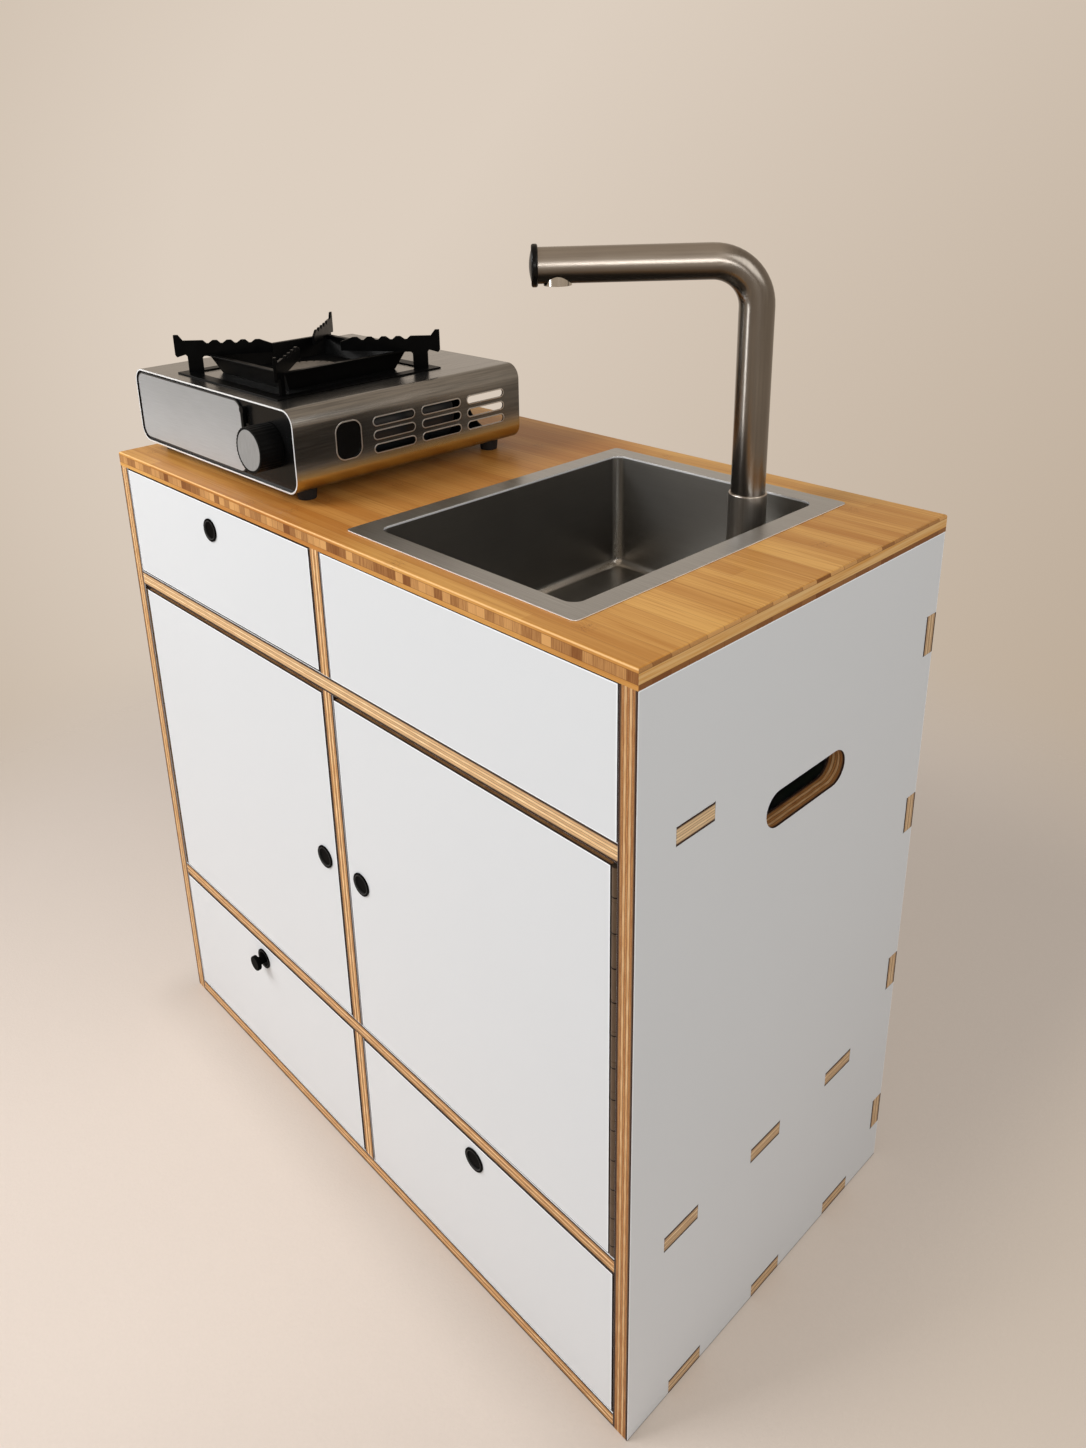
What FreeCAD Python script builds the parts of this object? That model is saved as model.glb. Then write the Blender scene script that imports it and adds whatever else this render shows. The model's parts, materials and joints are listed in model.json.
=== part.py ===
import FreeCAD
import Part
import os
from math import cos, pi, sin, sqrt

# Campervan kitchen unit: a flat-pack plywood cabinet with three drawers and two
# doors, a bamboo worktop, a drop-in sink with a tap, and a portable gas stove.
# Millimetres. X runs along the front to the right, Y runs back, Z runs up.
# The origin is on the floor, under the middle of the cabinet.

# Cabinet
cabinet_width = 820.0
cabinet_depth = 440.0
cabinet_height = 800.0
board = 18.0
worktop_thickness = 17.0
worktop_arris = 2.5
divider_offset = 9.0
top_opening = 133.0
bottom_opening = 183.0
sink_rail_depth = 100.0
sink_rail_lap = 50.0

# Finger joints: the first is measured from the front edge or the floor, the last from the back
# edge or the worktop, and the others lie evenly between them
tab_length = 48.0
shelf_tab_first = 71.0
shelf_tab_last = 108.0
bottom_tab_first = 84.0
bottom_tab_last = 88.0
back_finger = 42.0
back_finger_first = 73.0
back_finger_last = 104.0
back_finger_count = 4
bottom_tab_count = 3
shelf_tab_count = 3
rail_tab_count = 1

# Carrying slots in the two sides
handle_length = 122.0
handle_height = 36.0
handle_from_front = 229.0
handle_under_worktop = 183.0

# Fronts and their gaps
drawer_gap = 2.0
fixed_gap = 1.0
door_top_gap = 5.0
hinge_gap = 7.0

# Piano hinges
leaf_thickness = 1.0
leaf_width = 16.0
leaf_knuckle_gap = 0.4
hinge_wall_gap = 0.3
hinge_pin_radius = 1.3
hinge_running_gap = 0.05
hinge_axis_inset = 2.6
knuckle_count = 13
knuckle_end_gap = 0.3

# Push-button furniture locks
lock_ring_radius = 13.0
lock_ring_proud = 1.6
lock_bore_radius = 11.4
button_radius = 9.6
button_side_gap = 0.25
button_head_length = 5.0
button_recess = 1.2
button_edge_radius = 1.0
button_stem_radius = 5.2
button_running_gap = 0.06
button_stem_reach = 30.0
button_travel = 14.0
lock_case_depth = 18.0
lock_case_width = 34.0
lock_case_tail = 17.0
lock_case_margin = 4.0
lock_case_end_wall = 2.0
tongue_width = 8.0
tongue_depth = 6.0
tongue_setback = 5.0
tongue_side_gap = 0.3
tongue_tip_gap = 0.4
tongue_travel = 5.5
tongue_root = 8.0
strike_width = 22.0
strike_depth = 14.0
strike_thickness = 1.2
strike_pocket_depth = 7.0
top_lock_drop = 31.0
bottom_lock_drop = 23.0
door_lock_inset = 24.0
door_lock_from_floor = 421.0

# Drawer boxes and their runners
box_side = 12.0
box_bottom = 6.0
box_lift = 10.0
box_back_gap = 54.0
top_box_height = 98.0
bottom_box_height = 140.0
runner_space = 12.7
runner_short = 5.0
runner_height = 35.0
runner_sheet = 1.5
runner_lip = 8.0
runner_gap = 0.3
runner_setback = 3.0

# Sink
sink_from_divider = 10.0
sink_from_front = 25.0
sink_width = 298.0
sink_from_back = 35.0
sink_rim_width = 22.0
sink_depth = 130.0
sink_sheet = 1.2
sink_corner = 12.0
sink_rim_corner = 5.0
sink_floor_corner = 10.0
sink_cutout_gap = 2.0
ledge_drop = 62.0
ledge_margin = 22.0
waste_hole_radius = 23.0
waste_side_gap = 0.3
waste_flange_radius = 30.0
waste_flange_thickness = 1.5
waste_strainer_hole = 4.0
waste_strainer_circle = 13.0
waste_strainer_count = 6
waste_nut_radius = 30.0
waste_nut_height = 9.0
waste_cup_height = 26.0
waste_wall = 2.5
waste_spigot_radius = 12.5
waste_spigot_bore = 10.0
waste_spigot_length = 34.0

# Tap
tap_from_right = 47.0
tap_from_back = 44.0
collar_radius = 18.5
collar_height = 75.0
collar_chamfer = 0.6
collar_floor = 18.0
tap_running_gap = 0.08
tap_end_gap = 0.3
tap_shank_radius = 13.0
tap_shank_length = 30.0
tap_shank_gap = 0.3
tap_nut_radius = 21.0
tap_nut_height = 8.0
tap_tail_radius = 6.0
tap_tail_bore = 4.0
tap_tail_length = 28.0
pipe_radius = 16.5
pipe_wall = 1.5
spout_height = 233.0
spout_reach = 206.0
spout_bend = 42.0
spout_heading = 226.0
aerator_radius = 13.2
aerator_hole_gap = 0.4
aerator_from_end = 24.0
aerator_drop = 1.5
aerator_rise = 9.0
aerator_bore = 9.0
aerator_recess = 5.0
end_ring_radius = 19.4
end_ring_thickness = 6.0
end_ring_rounding = 2.0
end_ring_plug = 14.0
end_button_radius = 14.0
end_button_side_gap = 0.3
end_button_head = 3.5
end_button_proud = 2.0
end_button_travel = 2.5
end_button_stem = 5.0
end_button_dome = 2.0
end_button_tail = 4.0

# Portable stove
stove_from_left = 10.0
stove_from_front = 30.0
stove_width = 342.0
stove_depth = 303.0
stove_shell_height = 87.0
stove_corner = 17.0
stove_sheet = 1.8
stove_recess = 3.0
stove_front_wall = 3.0
stove_back_wall = 2.0
stove_back_inset = 6.0
stove_hatch_margin = 6.0
foot_height = 12.0
foot_radius = 11.0
foot_tip_radius = 9.5
foot_inset = 26.0
burner_from_left = 184.0
burner_from_front = 124.0
burner_opening_radius = 62.0
vent_length = 53.0
vent_height = 8.0
vent_pitch = 64.0
vent_rise = 14.5
vent_rows = 3
vent_columns = 3
vent_first = 123.5
vent_from_bottom = 40.0
window_width = 30.0
window_height = 38.0
window_corner = 10.0
window_from_front = 65.0
window_from_bottom = 46.0
window_plate = 2.0
window_plate_border = 8.0
panel_thickness = 2.0
panel_border = 2.0
panel_width = 239.0
knob_radius = 24.0
knob_rib = 0.6
knob_rib_count = 36
knob_length = 26.5
knob_gap = 0.5
knob_from_left = 295.0
knob_from_bottom = 45.0
knob_face_radius = 21.0
knob_face_thickness = 1.2
spindle_radius = 4.0
spindle_gap = 0.05
spindle_reach = 24.0
lever_from_left = 250.0
lever_from_bottom = 75.0
lever_width = 5.0
lever_length = 18.0
lever_thickness = 3.5
lever_head_radius = 4.0
lever_neck_height = 6.0
lever_reach = 22.0
lever_side_gap = 0.3
lever_travel = 12.0
valve_width = 42.0
valve_height = 44.0
valve_depth = 34.0
valve_inset = 2.0
cartridge_radius = 33.0
cartridge_length = 150.0
cartridge_shoulder = 16.0
cartridge_neck_radius = 13.0
cartridge_neck = 10.0
cartridge_rim = 2.0
cradle_half_width = 27.0
cradle_thickness = 3.0
cradle_gap = 0.3
cradle_first = 40.0
cradle_second = 120.0
burner_cup_radius = 40.0
burner_cup_height = 24.0
burner_cup_under_top = 28.0
burner_cap_radius = 34.0
burner_cap_height = 9.0
burner_port_count = 24
burner_port_width = 1.6
burner_port_depth = 4.0
burner_tube_radius = 8.0
tube_trim_share = 0.2
burner_post_radius = 13.0

# Pan support with its drip tray
support_half = 107.0
support_frame = 14.0
support_sheet = 1.6
support_arm_count = 4
arm_thickness = 3.0
arm_top = 37.5
arm_underside = 19.5
arm_hook_rise = 6.5
arm_hook_flat = 5.0
arm_hook_run = 10.0
arm_flat = 23.0
arm_notch = 3.5
arm_notch_pitch = 16.3
arm_notch_count = 4
arm_end_run = 14.0
arm_end_drop = 5.0
arm_end_depth = 10.0
arm_post_from_tip = 14.0
arm_post_width = 17.0
arm_lip = 2.0
tray_top_half = 80.0
tray_bottom_half = 70.0
tray_height = 22.0
tray_rim = 4.0
tray_hole_radius = 50.0

overrun = 5.0

# Main planes and levels
left_face = -cabinet_width / 2
right_face = cabinet_width / 2
front_face = -cabinet_depth / 2
back_face = cabinet_depth / 2
left_inner = left_face + board
right_inner = right_face - board
back_inner = back_face - board
front_inner = front_face + board
divider_left = divider_offset - board / 2
divider_right = divider_offset + board / 2
worktop_under = cabinet_height - worktop_thickness
lower_shelf_under = board + bottom_opening
lower_shelf_top = lower_shelf_under + board
upper_shelf_top = worktop_under - top_opening
upper_shelf_under = upper_shelf_top - board
box_depth = back_inner - front_inner - box_back_gap

X_AXIS = FreeCAD.Vector(1, 0, 0)
Y_AXIS = FreeCAD.Vector(0, 1, 0)
Z_AXIS = FreeCAD.Vector(0, 0, 1)
ORIGIN = FreeCAD.Vector(0, 0, 0)

# How far the middle of a quarter circle lies from its corner, per radius
arc_middle_share = 1 - sqrt(0.5)
level_tolerance = 1e-6

nodes = {}


def box(x_low, x_high, y_low, y_high, z_low, z_high):
    """Rectangular block between two values on each axis."""
    corner = FreeCAD.Vector(x_low, y_low, z_low)
    return Part.makeBox(x_high - x_low, y_high - y_low, z_high - z_low, corner)


def cylinder(radius, start, end):
    """Round bar between two points."""
    axis = end - start
    return Part.makeCylinder(radius, axis.Length, start, axis)


def tube(radius, bore, start, end):
    """Round bar with a bore right through it."""
    return cylinder(radius, start, end).cut(cylinder(bore, start, end))


def joined(shapes):
    """One clean solid from shapes that meet or overlap."""
    result = shapes[0]
    for shape in shapes[1:]:
        result = result.fuse(shape)
    return result.removeSplitter()


def without(shape, cutters):
    """The shape with every cutter taken away."""
    for cutter in cutters:
        shape = shape.cut(cutter)
    return shape


def rounded_wire(u_low, u_high, v_low, v_high, radius, place):
    """Closed rectangle with round corners; place turns (u, v) into a point."""
    arc_middle = radius * arc_middle_share
    corners = [
        (u_low, v_low, 1, 1),
        (u_high, v_low, -1, 1),
        (u_high, v_high, -1, -1),
        (u_low, v_high, 1, -1),
    ]
    arcs = []
    for index, (u, v, du, dv) in enumerate(corners):
        along_v = (u, v + dv * radius)
        along_u = (u + du * radius, v)
        middle = (u + du * arc_middle, v + dv * arc_middle)
        ends = [along_v, middle, along_u] if index % 2 == 0 else [along_u, middle, along_v]
        arcs.append([place(*point) for point in ends])
    edges = []
    for index, arc in enumerate(arcs):
        edges.append(Part.Arc(*arc).toShape())
        edges.append(Part.LineSegment(arc[2], arcs[(index + 1) % len(arcs)][0]).toShape())
    return Part.Wire(edges)


def rounded_block(x_low, x_high, y_low, y_high, z_low, z_high, radius):
    """Block whose upright edges are round."""
    wire = rounded_wire(
        x_low, x_high, y_low, y_high, radius, lambda u, v: FreeCAD.Vector(u, v, z_low)
    )
    return Part.Face(wire).extrude(FreeCAD.Vector(0, 0, z_high - z_low))


def rounded_bar(x_low, x_high, z_low, z_high, y_low, y_high, radius):
    """Block whose edges along Y are round."""
    wire = rounded_wire(
        x_low, x_high, z_low, z_high, radius, lambda u, v: FreeCAD.Vector(u, y_low, v)
    )
    return Part.Face(wire).extrude(FreeCAD.Vector(0, y_high - y_low, 0))


def round_slot(x_low, x_high, y_centre, z_centre, length, height):
    """Slot with round ends, long along Y, cut along X."""
    radius = height / 2
    straight = length / 2 - radius

    def at(along, up):
        return FreeCAD.Vector(x_low, y_centre + along, z_centre + up)

    wire = Part.Wire(
        [
            Part.LineSegment(at(-straight, -radius), at(straight, -radius)).toShape(),
            Part.Arc(
                at(straight, -radius), at(straight + radius, 0), at(straight, radius)
            ).toShape(),
            Part.LineSegment(at(straight, radius), at(-straight, radius)).toShape(),
            Part.Arc(
                at(-straight, radius), at(-straight - radius, 0), at(-straight, -radius)
            ).toShape(),
        ]
    )
    return Part.Face(wire).extrude(FreeCAD.Vector(x_high - x_low, 0, 0))


def polygon_block(points, direction):
    """Block with a straight-sided outline."""
    wire = Part.makePolygon(points + [points[0]])
    return Part.Face(wire).extrude(direction)


def keep(name, *shapes):
    """Put solids under one node name."""
    nodes.setdefault(name, []).extend(shapes)


def edges_at_height(shape, height):
    """Edges that lie flat at one height."""
    found = []
    for edge in shape.Edges:
        bounds = edge.BoundBox
        if max(abs(bounds.ZMin - height), abs(bounds.ZMax - height)) < level_tolerance:
            found.append(edge)
    return found


# Joints between the boards

shelf_tab_pitch = (cabinet_depth - shelf_tab_first - shelf_tab_last) / (shelf_tab_count - 1)
bottom_tab_pitch = (cabinet_depth - bottom_tab_first - bottom_tab_last) / (bottom_tab_count - 1)
back_finger_pitch = (worktop_under - back_finger_first - back_finger_last) / (back_finger_count - 1)


def side_tabs(side, z_low, first, pitch, count):
    """Tabs of a level board that reach through one side."""
    x_low, x_high = (left_face, left_inner) if side == "left" else (right_inner, right_face)
    tabs = []
    for index in range(count):
        middle = front_face + first + index * pitch
        tabs.append(
            box(x_low, x_high, middle - tab_length / 2, middle + tab_length / 2, z_low, z_low + board)
        )
    return tabs


def back_fingers(side):
    """Fingers of the back panel that reach through one side's back edge."""
    x_low, x_high = (left_face, left_inner) if side == "left" else (right_inner, right_face)
    fingers = []
    for index in range(back_finger_count):
        middle = back_finger_first + index * back_finger_pitch
        fingers.append(
            box(x_low, x_high, back_inner, back_face, middle - back_finger / 2, middle + back_finger / 2)
        )
    return fingers


tabs_bottom = {}
tabs_lower = {}
tabs_upper = {}
fingers_back = {}
for side, upper_count in (("left", shelf_tab_count), ("right", rail_tab_count)):
    tabs_bottom[side] = side_tabs(side, 0, bottom_tab_first, bottom_tab_pitch, bottom_tab_count)
    tabs_lower[side] = side_tabs(side, lower_shelf_under, shelf_tab_first, shelf_tab_pitch, shelf_tab_count)
    tabs_upper[side] = side_tabs(side, upper_shelf_under, shelf_tab_first, shelf_tab_pitch, upper_count)
    fingers_back[side] = back_fingers(side)


# Side panels, each with its carrying slot

def side_panel(side):
    x_low, x_high = (left_face, left_inner) if side == "left" else (right_inner, right_face)
    panel = box(x_low, x_high, front_face, back_face, 0, worktop_under)
    cutters = tabs_bottom[side] + tabs_lower[side] + tabs_upper[side] + fingers_back[side]
    cutters.append(
        round_slot(
            x_low - overrun, x_high + overrun, front_face + handle_from_front,
            worktop_under - handle_under_worktop, handle_length, handle_height,
        )
    )
    return without(panel, cutters)


for side in ("left", "right"):
    keep("side_panel_" + side, side_panel(side))

# Level boards

keep(
    "bottom_panel",
    joined(
        [box(left_inner, right_inner, front_face, back_face, 0, board)]
        + tabs_bottom["left"] + tabs_bottom["right"]
    ),
)

lower_lap = (front_face + back_inner) / 2
lower_shelf = joined(
    [box(left_inner, right_inner, front_face, back_inner, lower_shelf_under, lower_shelf_top)]
    + tabs_lower["left"] + tabs_lower["right"]
)
lower_shelf = lower_shelf.cut(
    box(divider_left, divider_right, lower_lap, back_inner, lower_shelf_under, lower_shelf_top)
)

sink_rail_back = front_face + sink_rail_depth
upper_lap = front_face + sink_rail_lap
upper_shelf = joined(
    [
        box(left_inner, divider_left, front_face, back_inner, upper_shelf_under, upper_shelf_top),
        box(divider_left, divider_right, front_face, upper_lap, upper_shelf_under, upper_shelf_top),
        box(divider_right, right_inner, front_face, sink_rail_back, upper_shelf_under, upper_shelf_top),
    ]
    + tabs_upper["left"] + tabs_upper["right"]
)
keep("upper_shelf", upper_shelf)

# The divider is notched from the front where the level boards cross it

divider = box(divider_left, divider_right, front_face, back_inner, board, worktop_under)
divider = without(
    divider,
    [
        box(divider_left, divider_right, front_face, lower_lap, lower_shelf_under, lower_shelf_top),
        box(divider_left, divider_right, front_face, upper_lap, upper_shelf_under, upper_shelf_top),
    ],
)

keep(
    "back_panel",
    joined(
        [box(left_inner, right_inner, back_inner, back_face, board, worktop_under)]
        + fingers_back["left"] + fingers_back["right"]
    ),
)

# Sink: one bowl pressed from sheet, with a flat rim and a sunken corner ledge

rim_left = divider_right + sink_from_divider
rim_right = rim_left + sink_width
rim_front = front_face + sink_from_front
rim_back = back_face - sink_from_back
bowl_left = rim_left + sink_rim_width
bowl_right = rim_right - sink_rim_width
bowl_front = rim_front + sink_rim_width
bowl_back = rim_back - sink_rim_width
bowl_floor = cabinet_height - sink_depth
rim_top = cabinet_height + sink_sheet
ledge_top = cabinet_height - ledge_drop
tap_x = bowl_right - tap_from_right
tap_y = bowl_back - tap_from_back
ledge_left = tap_x - collar_radius - ledge_margin
ledge_front = tap_y - collar_radius - ledge_margin


def bowl_body(grow, top):
    """Space inside the bowl, made larger all round by grow."""
    body = rounded_block(
        bowl_left - grow, bowl_right + grow, bowl_front - grow, bowl_back + grow,
        bowl_floor - grow, top, sink_corner + grow,
    )
    floor_edges = edges_at_height(body, bowl_floor - grow)
    body = body.makeFillet(sink_floor_corner + grow, floor_edges)
    ledge = box(
        ledge_left + grow, bowl_right + overrun + grow, ledge_front + grow, bowl_back + overrun + grow,
        bowl_floor - overrun - grow, ledge_top - grow,
    )
    return body.cut(ledge)


sink_shell = joined(
    [
        bowl_body(sink_sheet, cabinet_height),
        rounded_block(
            rim_left, rim_right, rim_front, rim_back, cabinet_height, rim_top, sink_rim_corner
        ),
    ]
)
waste_x = (bowl_left + bowl_right) / 2
waste_y = (bowl_front + bowl_back) / 2


def at_waste(z):
    return FreeCAD.Vector(waste_x, waste_y, z)


def at_tap(z):
    return FreeCAD.Vector(tap_x, tap_y, z)


keep(
    "sink_bowl",
    without(
        sink_shell,
        [
            bowl_body(0, rim_top + overrun),
            cylinder(waste_hole_radius, at_waste(bowl_floor - overrun), at_waste(bowl_floor + overrun)),
            cylinder(
                tap_shank_radius + tap_shank_gap, at_tap(ledge_top - overrun), at_tap(ledge_top + overrun)
            ),
        ],
    ),
)

# Waste: strainer flange in the bowl, threaded body and nut below it, hose spigot

waste_body_radius = waste_hole_radius - waste_side_gap
waste_under = bowl_floor - sink_sheet
waste_cup_under = waste_under - waste_cup_height
waste_flange_top = bowl_floor + waste_flange_thickness
waste = joined(
    [
        cylinder(waste_flange_radius, at_waste(bowl_floor), at_waste(waste_flange_top)),
        cylinder(waste_body_radius, at_waste(waste_cup_under), at_waste(bowl_floor)),
        cylinder(waste_nut_radius, at_waste(waste_under - waste_nut_height), at_waste(waste_under)),
        cylinder(
            waste_spigot_radius, at_waste(waste_cup_under - waste_spigot_length), at_waste(waste_cup_under)
        ),
    ]
)
waste = without(
    waste,
    [
        cylinder(
            waste_body_radius - waste_wall, at_waste(waste_cup_under + waste_wall), at_waste(bowl_floor)
        ),
        cylinder(
            waste_spigot_bore, at_waste(waste_cup_under - waste_spigot_length - overrun),
            at_waste(waste_cup_under + waste_wall),
        ),
    ],
)
strainer_holes = []
for index in range(waste_strainer_count):
    angle = 2 * pi * index / waste_strainer_count
    offset = FreeCAD.Vector(waste_strainer_circle * cos(angle), waste_strainer_circle * sin(angle), 0)
    strainer_holes.append(
        cylinder(
            waste_strainer_hole, at_waste(bowl_floor) + offset, at_waste(waste_flange_top + overrun) + offset
        )
    )
strainer_holes.append(
    cylinder(waste_strainer_hole, at_waste(bowl_floor), at_waste(waste_flange_top + overrun))
)
keep("sink_waste", without(waste, strainer_holes))

# Tap: collar on the ledge, nut under it, swivelling pipe in the collar

collar_top = ledge_top + collar_height
collar_bore_floor = ledge_top + collar_floor
ledge_under = ledge_top - sink_sheet
shank_end = ledge_under - tap_shank_length
tail_end = shank_end - tap_tail_length
collar = cylinder(collar_radius, at_tap(ledge_top), at_tap(collar_top))
collar = collar.makeChamfer(collar_chamfer, edges_at_height(collar, collar_top))
collar = joined(
    [
        collar,
        cylinder(tap_shank_radius, at_tap(shank_end), at_tap(ledge_top)),
        cylinder(tap_tail_radius, at_tap(tail_end), at_tap(shank_end)),
    ]
)
keep(
    "tap_collar",
    without(
        collar,
        [
            cylinder(
                pipe_radius + tap_running_gap, at_tap(collar_bore_floor), at_tap(collar_top + overrun)
            ),
            cylinder(tap_tail_bore, at_tap(tail_end - overrun), at_tap(collar_bore_floor + overrun)),
        ],
    ),
)
keep(
    "tap_nut",
    tube(tap_nut_radius, tap_shank_radius, at_tap(ledge_under - tap_nut_height), at_tap(ledge_under)),
)

pipe_start = collar_bore_floor + tap_end_gap
spout_z = cabinet_height + spout_height


def at_spout(along, z, across=0):
    """Point beside the tap, with the spout drawn along X before it is turned."""
    return FreeCAD.Vector(along, across, z)


def turned_spout(shape):
    """Turn a piece drawn along X to the spout's heading and put it on the tap."""
    shape = shape.copy()
    shape.rotate(ORIGIN, Z_AXIS, spout_heading)
    shape.translate(FreeCAD.Vector(tap_x, tap_y, 0))
    return shape


def bent_pipe(radius, start_z, end_along):
    """Upright run, quarter bend and level run of one round section."""
    bend_start = spout_z - spout_bend
    middle = spout_bend * arc_middle_share
    path = Part.Wire(
        [
            Part.LineSegment(at_spout(0, start_z), at_spout(0, bend_start)).toShape(),
            Part.Arc(
                at_spout(0, bend_start), at_spout(middle, spout_z - middle), at_spout(spout_bend, spout_z)
            ).toShape(),
            Part.LineSegment(at_spout(spout_bend, spout_z), at_spout(end_along, spout_z)).toShape(),
        ]
    )
    section = Part.Wire([Part.makeCircle(radius, at_spout(0, start_z), Z_AXIS)])
    return path.makePipeShell([section], True, False)


pipe_bore = pipe_radius - pipe_wall
pipe_end = spout_reach - end_ring_thickness
aerator_at = spout_reach - aerator_from_end
aerator_low = spout_z - pipe_radius - aerator_drop
aerator_high = aerator_low + aerator_drop + aerator_rise
aerator = cylinder(aerator_radius, at_spout(aerator_at, aerator_low), at_spout(aerator_at, aerator_high))
spout = bent_pipe(pipe_radius, pipe_start, pipe_end).cut(bent_pipe(pipe_bore, pipe_start, pipe_end))
spout = spout.cut(
    cylinder(
        aerator_radius + aerator_hole_gap, at_spout(aerator_at, aerator_low), at_spout(aerator_at, spout_z)
    )
)
keep("tap_spout", turned_spout(spout))
aerator = without(
    aerator,
    [
        cylinder(
            aerator_bore, at_spout(aerator_at, aerator_low - overrun),
            at_spout(aerator_at, aerator_low + aerator_recess),
        ),
        cylinder(
            tap_tail_bore, at_spout(aerator_at, aerator_low), at_spout(aerator_at, aerator_high + overrun)
        ),
    ],
)
keep("tap_aerator", turned_spout(aerator))

# Spout end: black ring plugged into the pipe, with a push button in its middle

ring_bore = end_button_radius + end_button_side_gap
end_ring = cylinder(end_ring_radius, at_spout(pipe_end, spout_z), at_spout(spout_reach, spout_z))
end_ring = end_ring.makeFillet(
    end_ring_rounding, [edge for edge in end_ring.Edges if len(edge.Vertexes) == 1]
)
button_pocket = spout_reach - end_button_head - end_button_travel + end_button_proud
plug_end = pipe_end - end_ring_plug
end_ring = joined(
    [end_ring, cylinder(pipe_bore, at_spout(plug_end, spout_z), at_spout(pipe_end, spout_z))]
)
end_ring = without(
    end_ring,
    [
        cylinder(ring_bore, at_spout(button_pocket, spout_z), at_spout(spout_reach + overrun, spout_z)),
        cylinder(
            end_button_stem + tap_running_gap, at_spout(plug_end - overrun, spout_z),
            at_spout(spout_reach, spout_z),
        ),
        cylinder(
            aerator_radius + end_button_side_gap, at_spout(aerator_at, aerator_low),
            at_spout(aerator_at, spout_z - end_button_stem - end_ring_rounding),
        ),
    ],
)
keep("spout_end_ring", turned_spout(end_ring))
button_face = spout_reach + end_button_proud
dome_radius = (end_button_radius**2 + end_button_dome**2) / (2 * end_button_dome)
end_button = cylinder(
    end_button_radius, at_spout(button_face - end_button_head, spout_z), at_spout(button_face, spout_z)
)
end_button = end_button.common(Part.makeSphere(dome_radius, at_spout(button_face - dome_radius, spout_z)))
end_button = joined(
    [
        end_button,
        cylinder(
            end_button_stem, at_spout(plug_end - end_button_tail, spout_z),
            at_spout(button_face - end_button_head, spout_z),
        ),
    ]
)
keep("spout_end_button", turned_spout(end_button))

# Locks are drawn round the origin with the tongue pointing up, then placed


def lock_pieces(setback, popped):
    """Case, button, tongue, strike and pockets of one lock; setback is to the strike."""
    case_end = setback - lock_case_margin
    case_back = front_inner + lock_case_depth
    ring_front = front_face - lock_ring_proud

    def on_axis(y):
        return FreeCAD.Vector(0, y, 0)

    case = joined(
        [
            cylinder(lock_ring_radius, on_axis(ring_front), on_axis(front_face)),
            cylinder(lock_bore_radius, on_axis(front_face), on_axis(front_inner)),
            box(
                -lock_case_width / 2, lock_case_width / 2, front_inner, case_back,
                -lock_case_tail, case_end,
            ),
        ]
    )
    head_front = ring_front + button_recess
    head_back = head_front + button_head_length
    tongue_front = front_inner + tongue_setback
    tongue_back = tongue_front + tongue_depth
    channel_side = tongue_width / 2 + tongue_side_gap
    case = without(
        case,
        [
            cylinder(button_radius + button_side_gap, on_axis(ring_front - overrun), on_axis(head_back)),
            cylinder(
                button_stem_radius + button_running_gap, on_axis(head_back),
                on_axis(case_back - lock_case_end_wall),
            ),
            box(
                -channel_side, channel_side, tongue_front - tongue_side_gap,
                tongue_back + tongue_side_gap, tongue_root, case_end + overrun,
            ),
        ],
    )
    head = cylinder(button_radius, on_axis(head_front), on_axis(head_back))
    head_edges = [
        edge for edge in head.Edges if len(edge.Vertexes) == 1 and edge.BoundBox.YMax < head_back
    ]
    head = head.makeFillet(button_edge_radius, head_edges)
    button = joined(
        [head, cylinder(button_stem_radius, on_axis(head_back), on_axis(head_front + button_stem_reach))]
    )
    tongue = box(
        -tongue_width / 2, tongue_width / 2, tongue_front, tongue_back,
        tongue_root + tongue_travel + tongue_side_gap, setback - tongue_tip_gap,
    )
    strike_middle = (tongue_front + tongue_back) / 2
    strike_pocket = box(
        -strike_width / 2, strike_width / 2, strike_middle - strike_depth / 2,
        strike_middle + strike_depth / 2, setback, setback + strike_thickness,
    )
    tongue_pocket = box(
        -channel_side, channel_side, tongue_front - tongue_side_gap,
        tongue_back + tongue_side_gap, setback, setback + strike_pocket_depth,
    )
    strike = strike_pocket.cut(tongue_pocket)
    if popped:
        button.translate(FreeCAD.Vector(0, -button_travel, 0))
        tongue.translate(FreeCAD.Vector(0, 0, -tongue_travel))
    return case, button, tongue, strike, [strike_pocket, tongue_pocket]


def place_lock(name, setback, x, z, turn, popped=False):
    """Put one lock in its front and return what its strike needs cut away."""
    case, button, tongue, strike, pockets = lock_pieces(setback, popped)
    placed = []
    for shape in [case, button, tongue, strike] + pockets:
        shape.rotate(ORIGIN, Y_AXIS, turn)
        shape.translate(FreeCAD.Vector(x, 0, z))
        placed.append(shape)
    keep(name + "_lock_case", placed[0])
    keep(name + "_lock_button", placed[1])
    keep(name + "_lock_tongue", placed[2])
    keep("lock_strikes", placed[3])
    return placed[4:]


def lock_hole(x, z):
    return cylinder(
        lock_bore_radius, FreeCAD.Vector(x, front_face - overrun, z),
        FreeCAD.Vector(x, front_inner + overrun, z),
    )


# Drawers: a faced front, a glued box behind it and a pair of side runners


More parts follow.
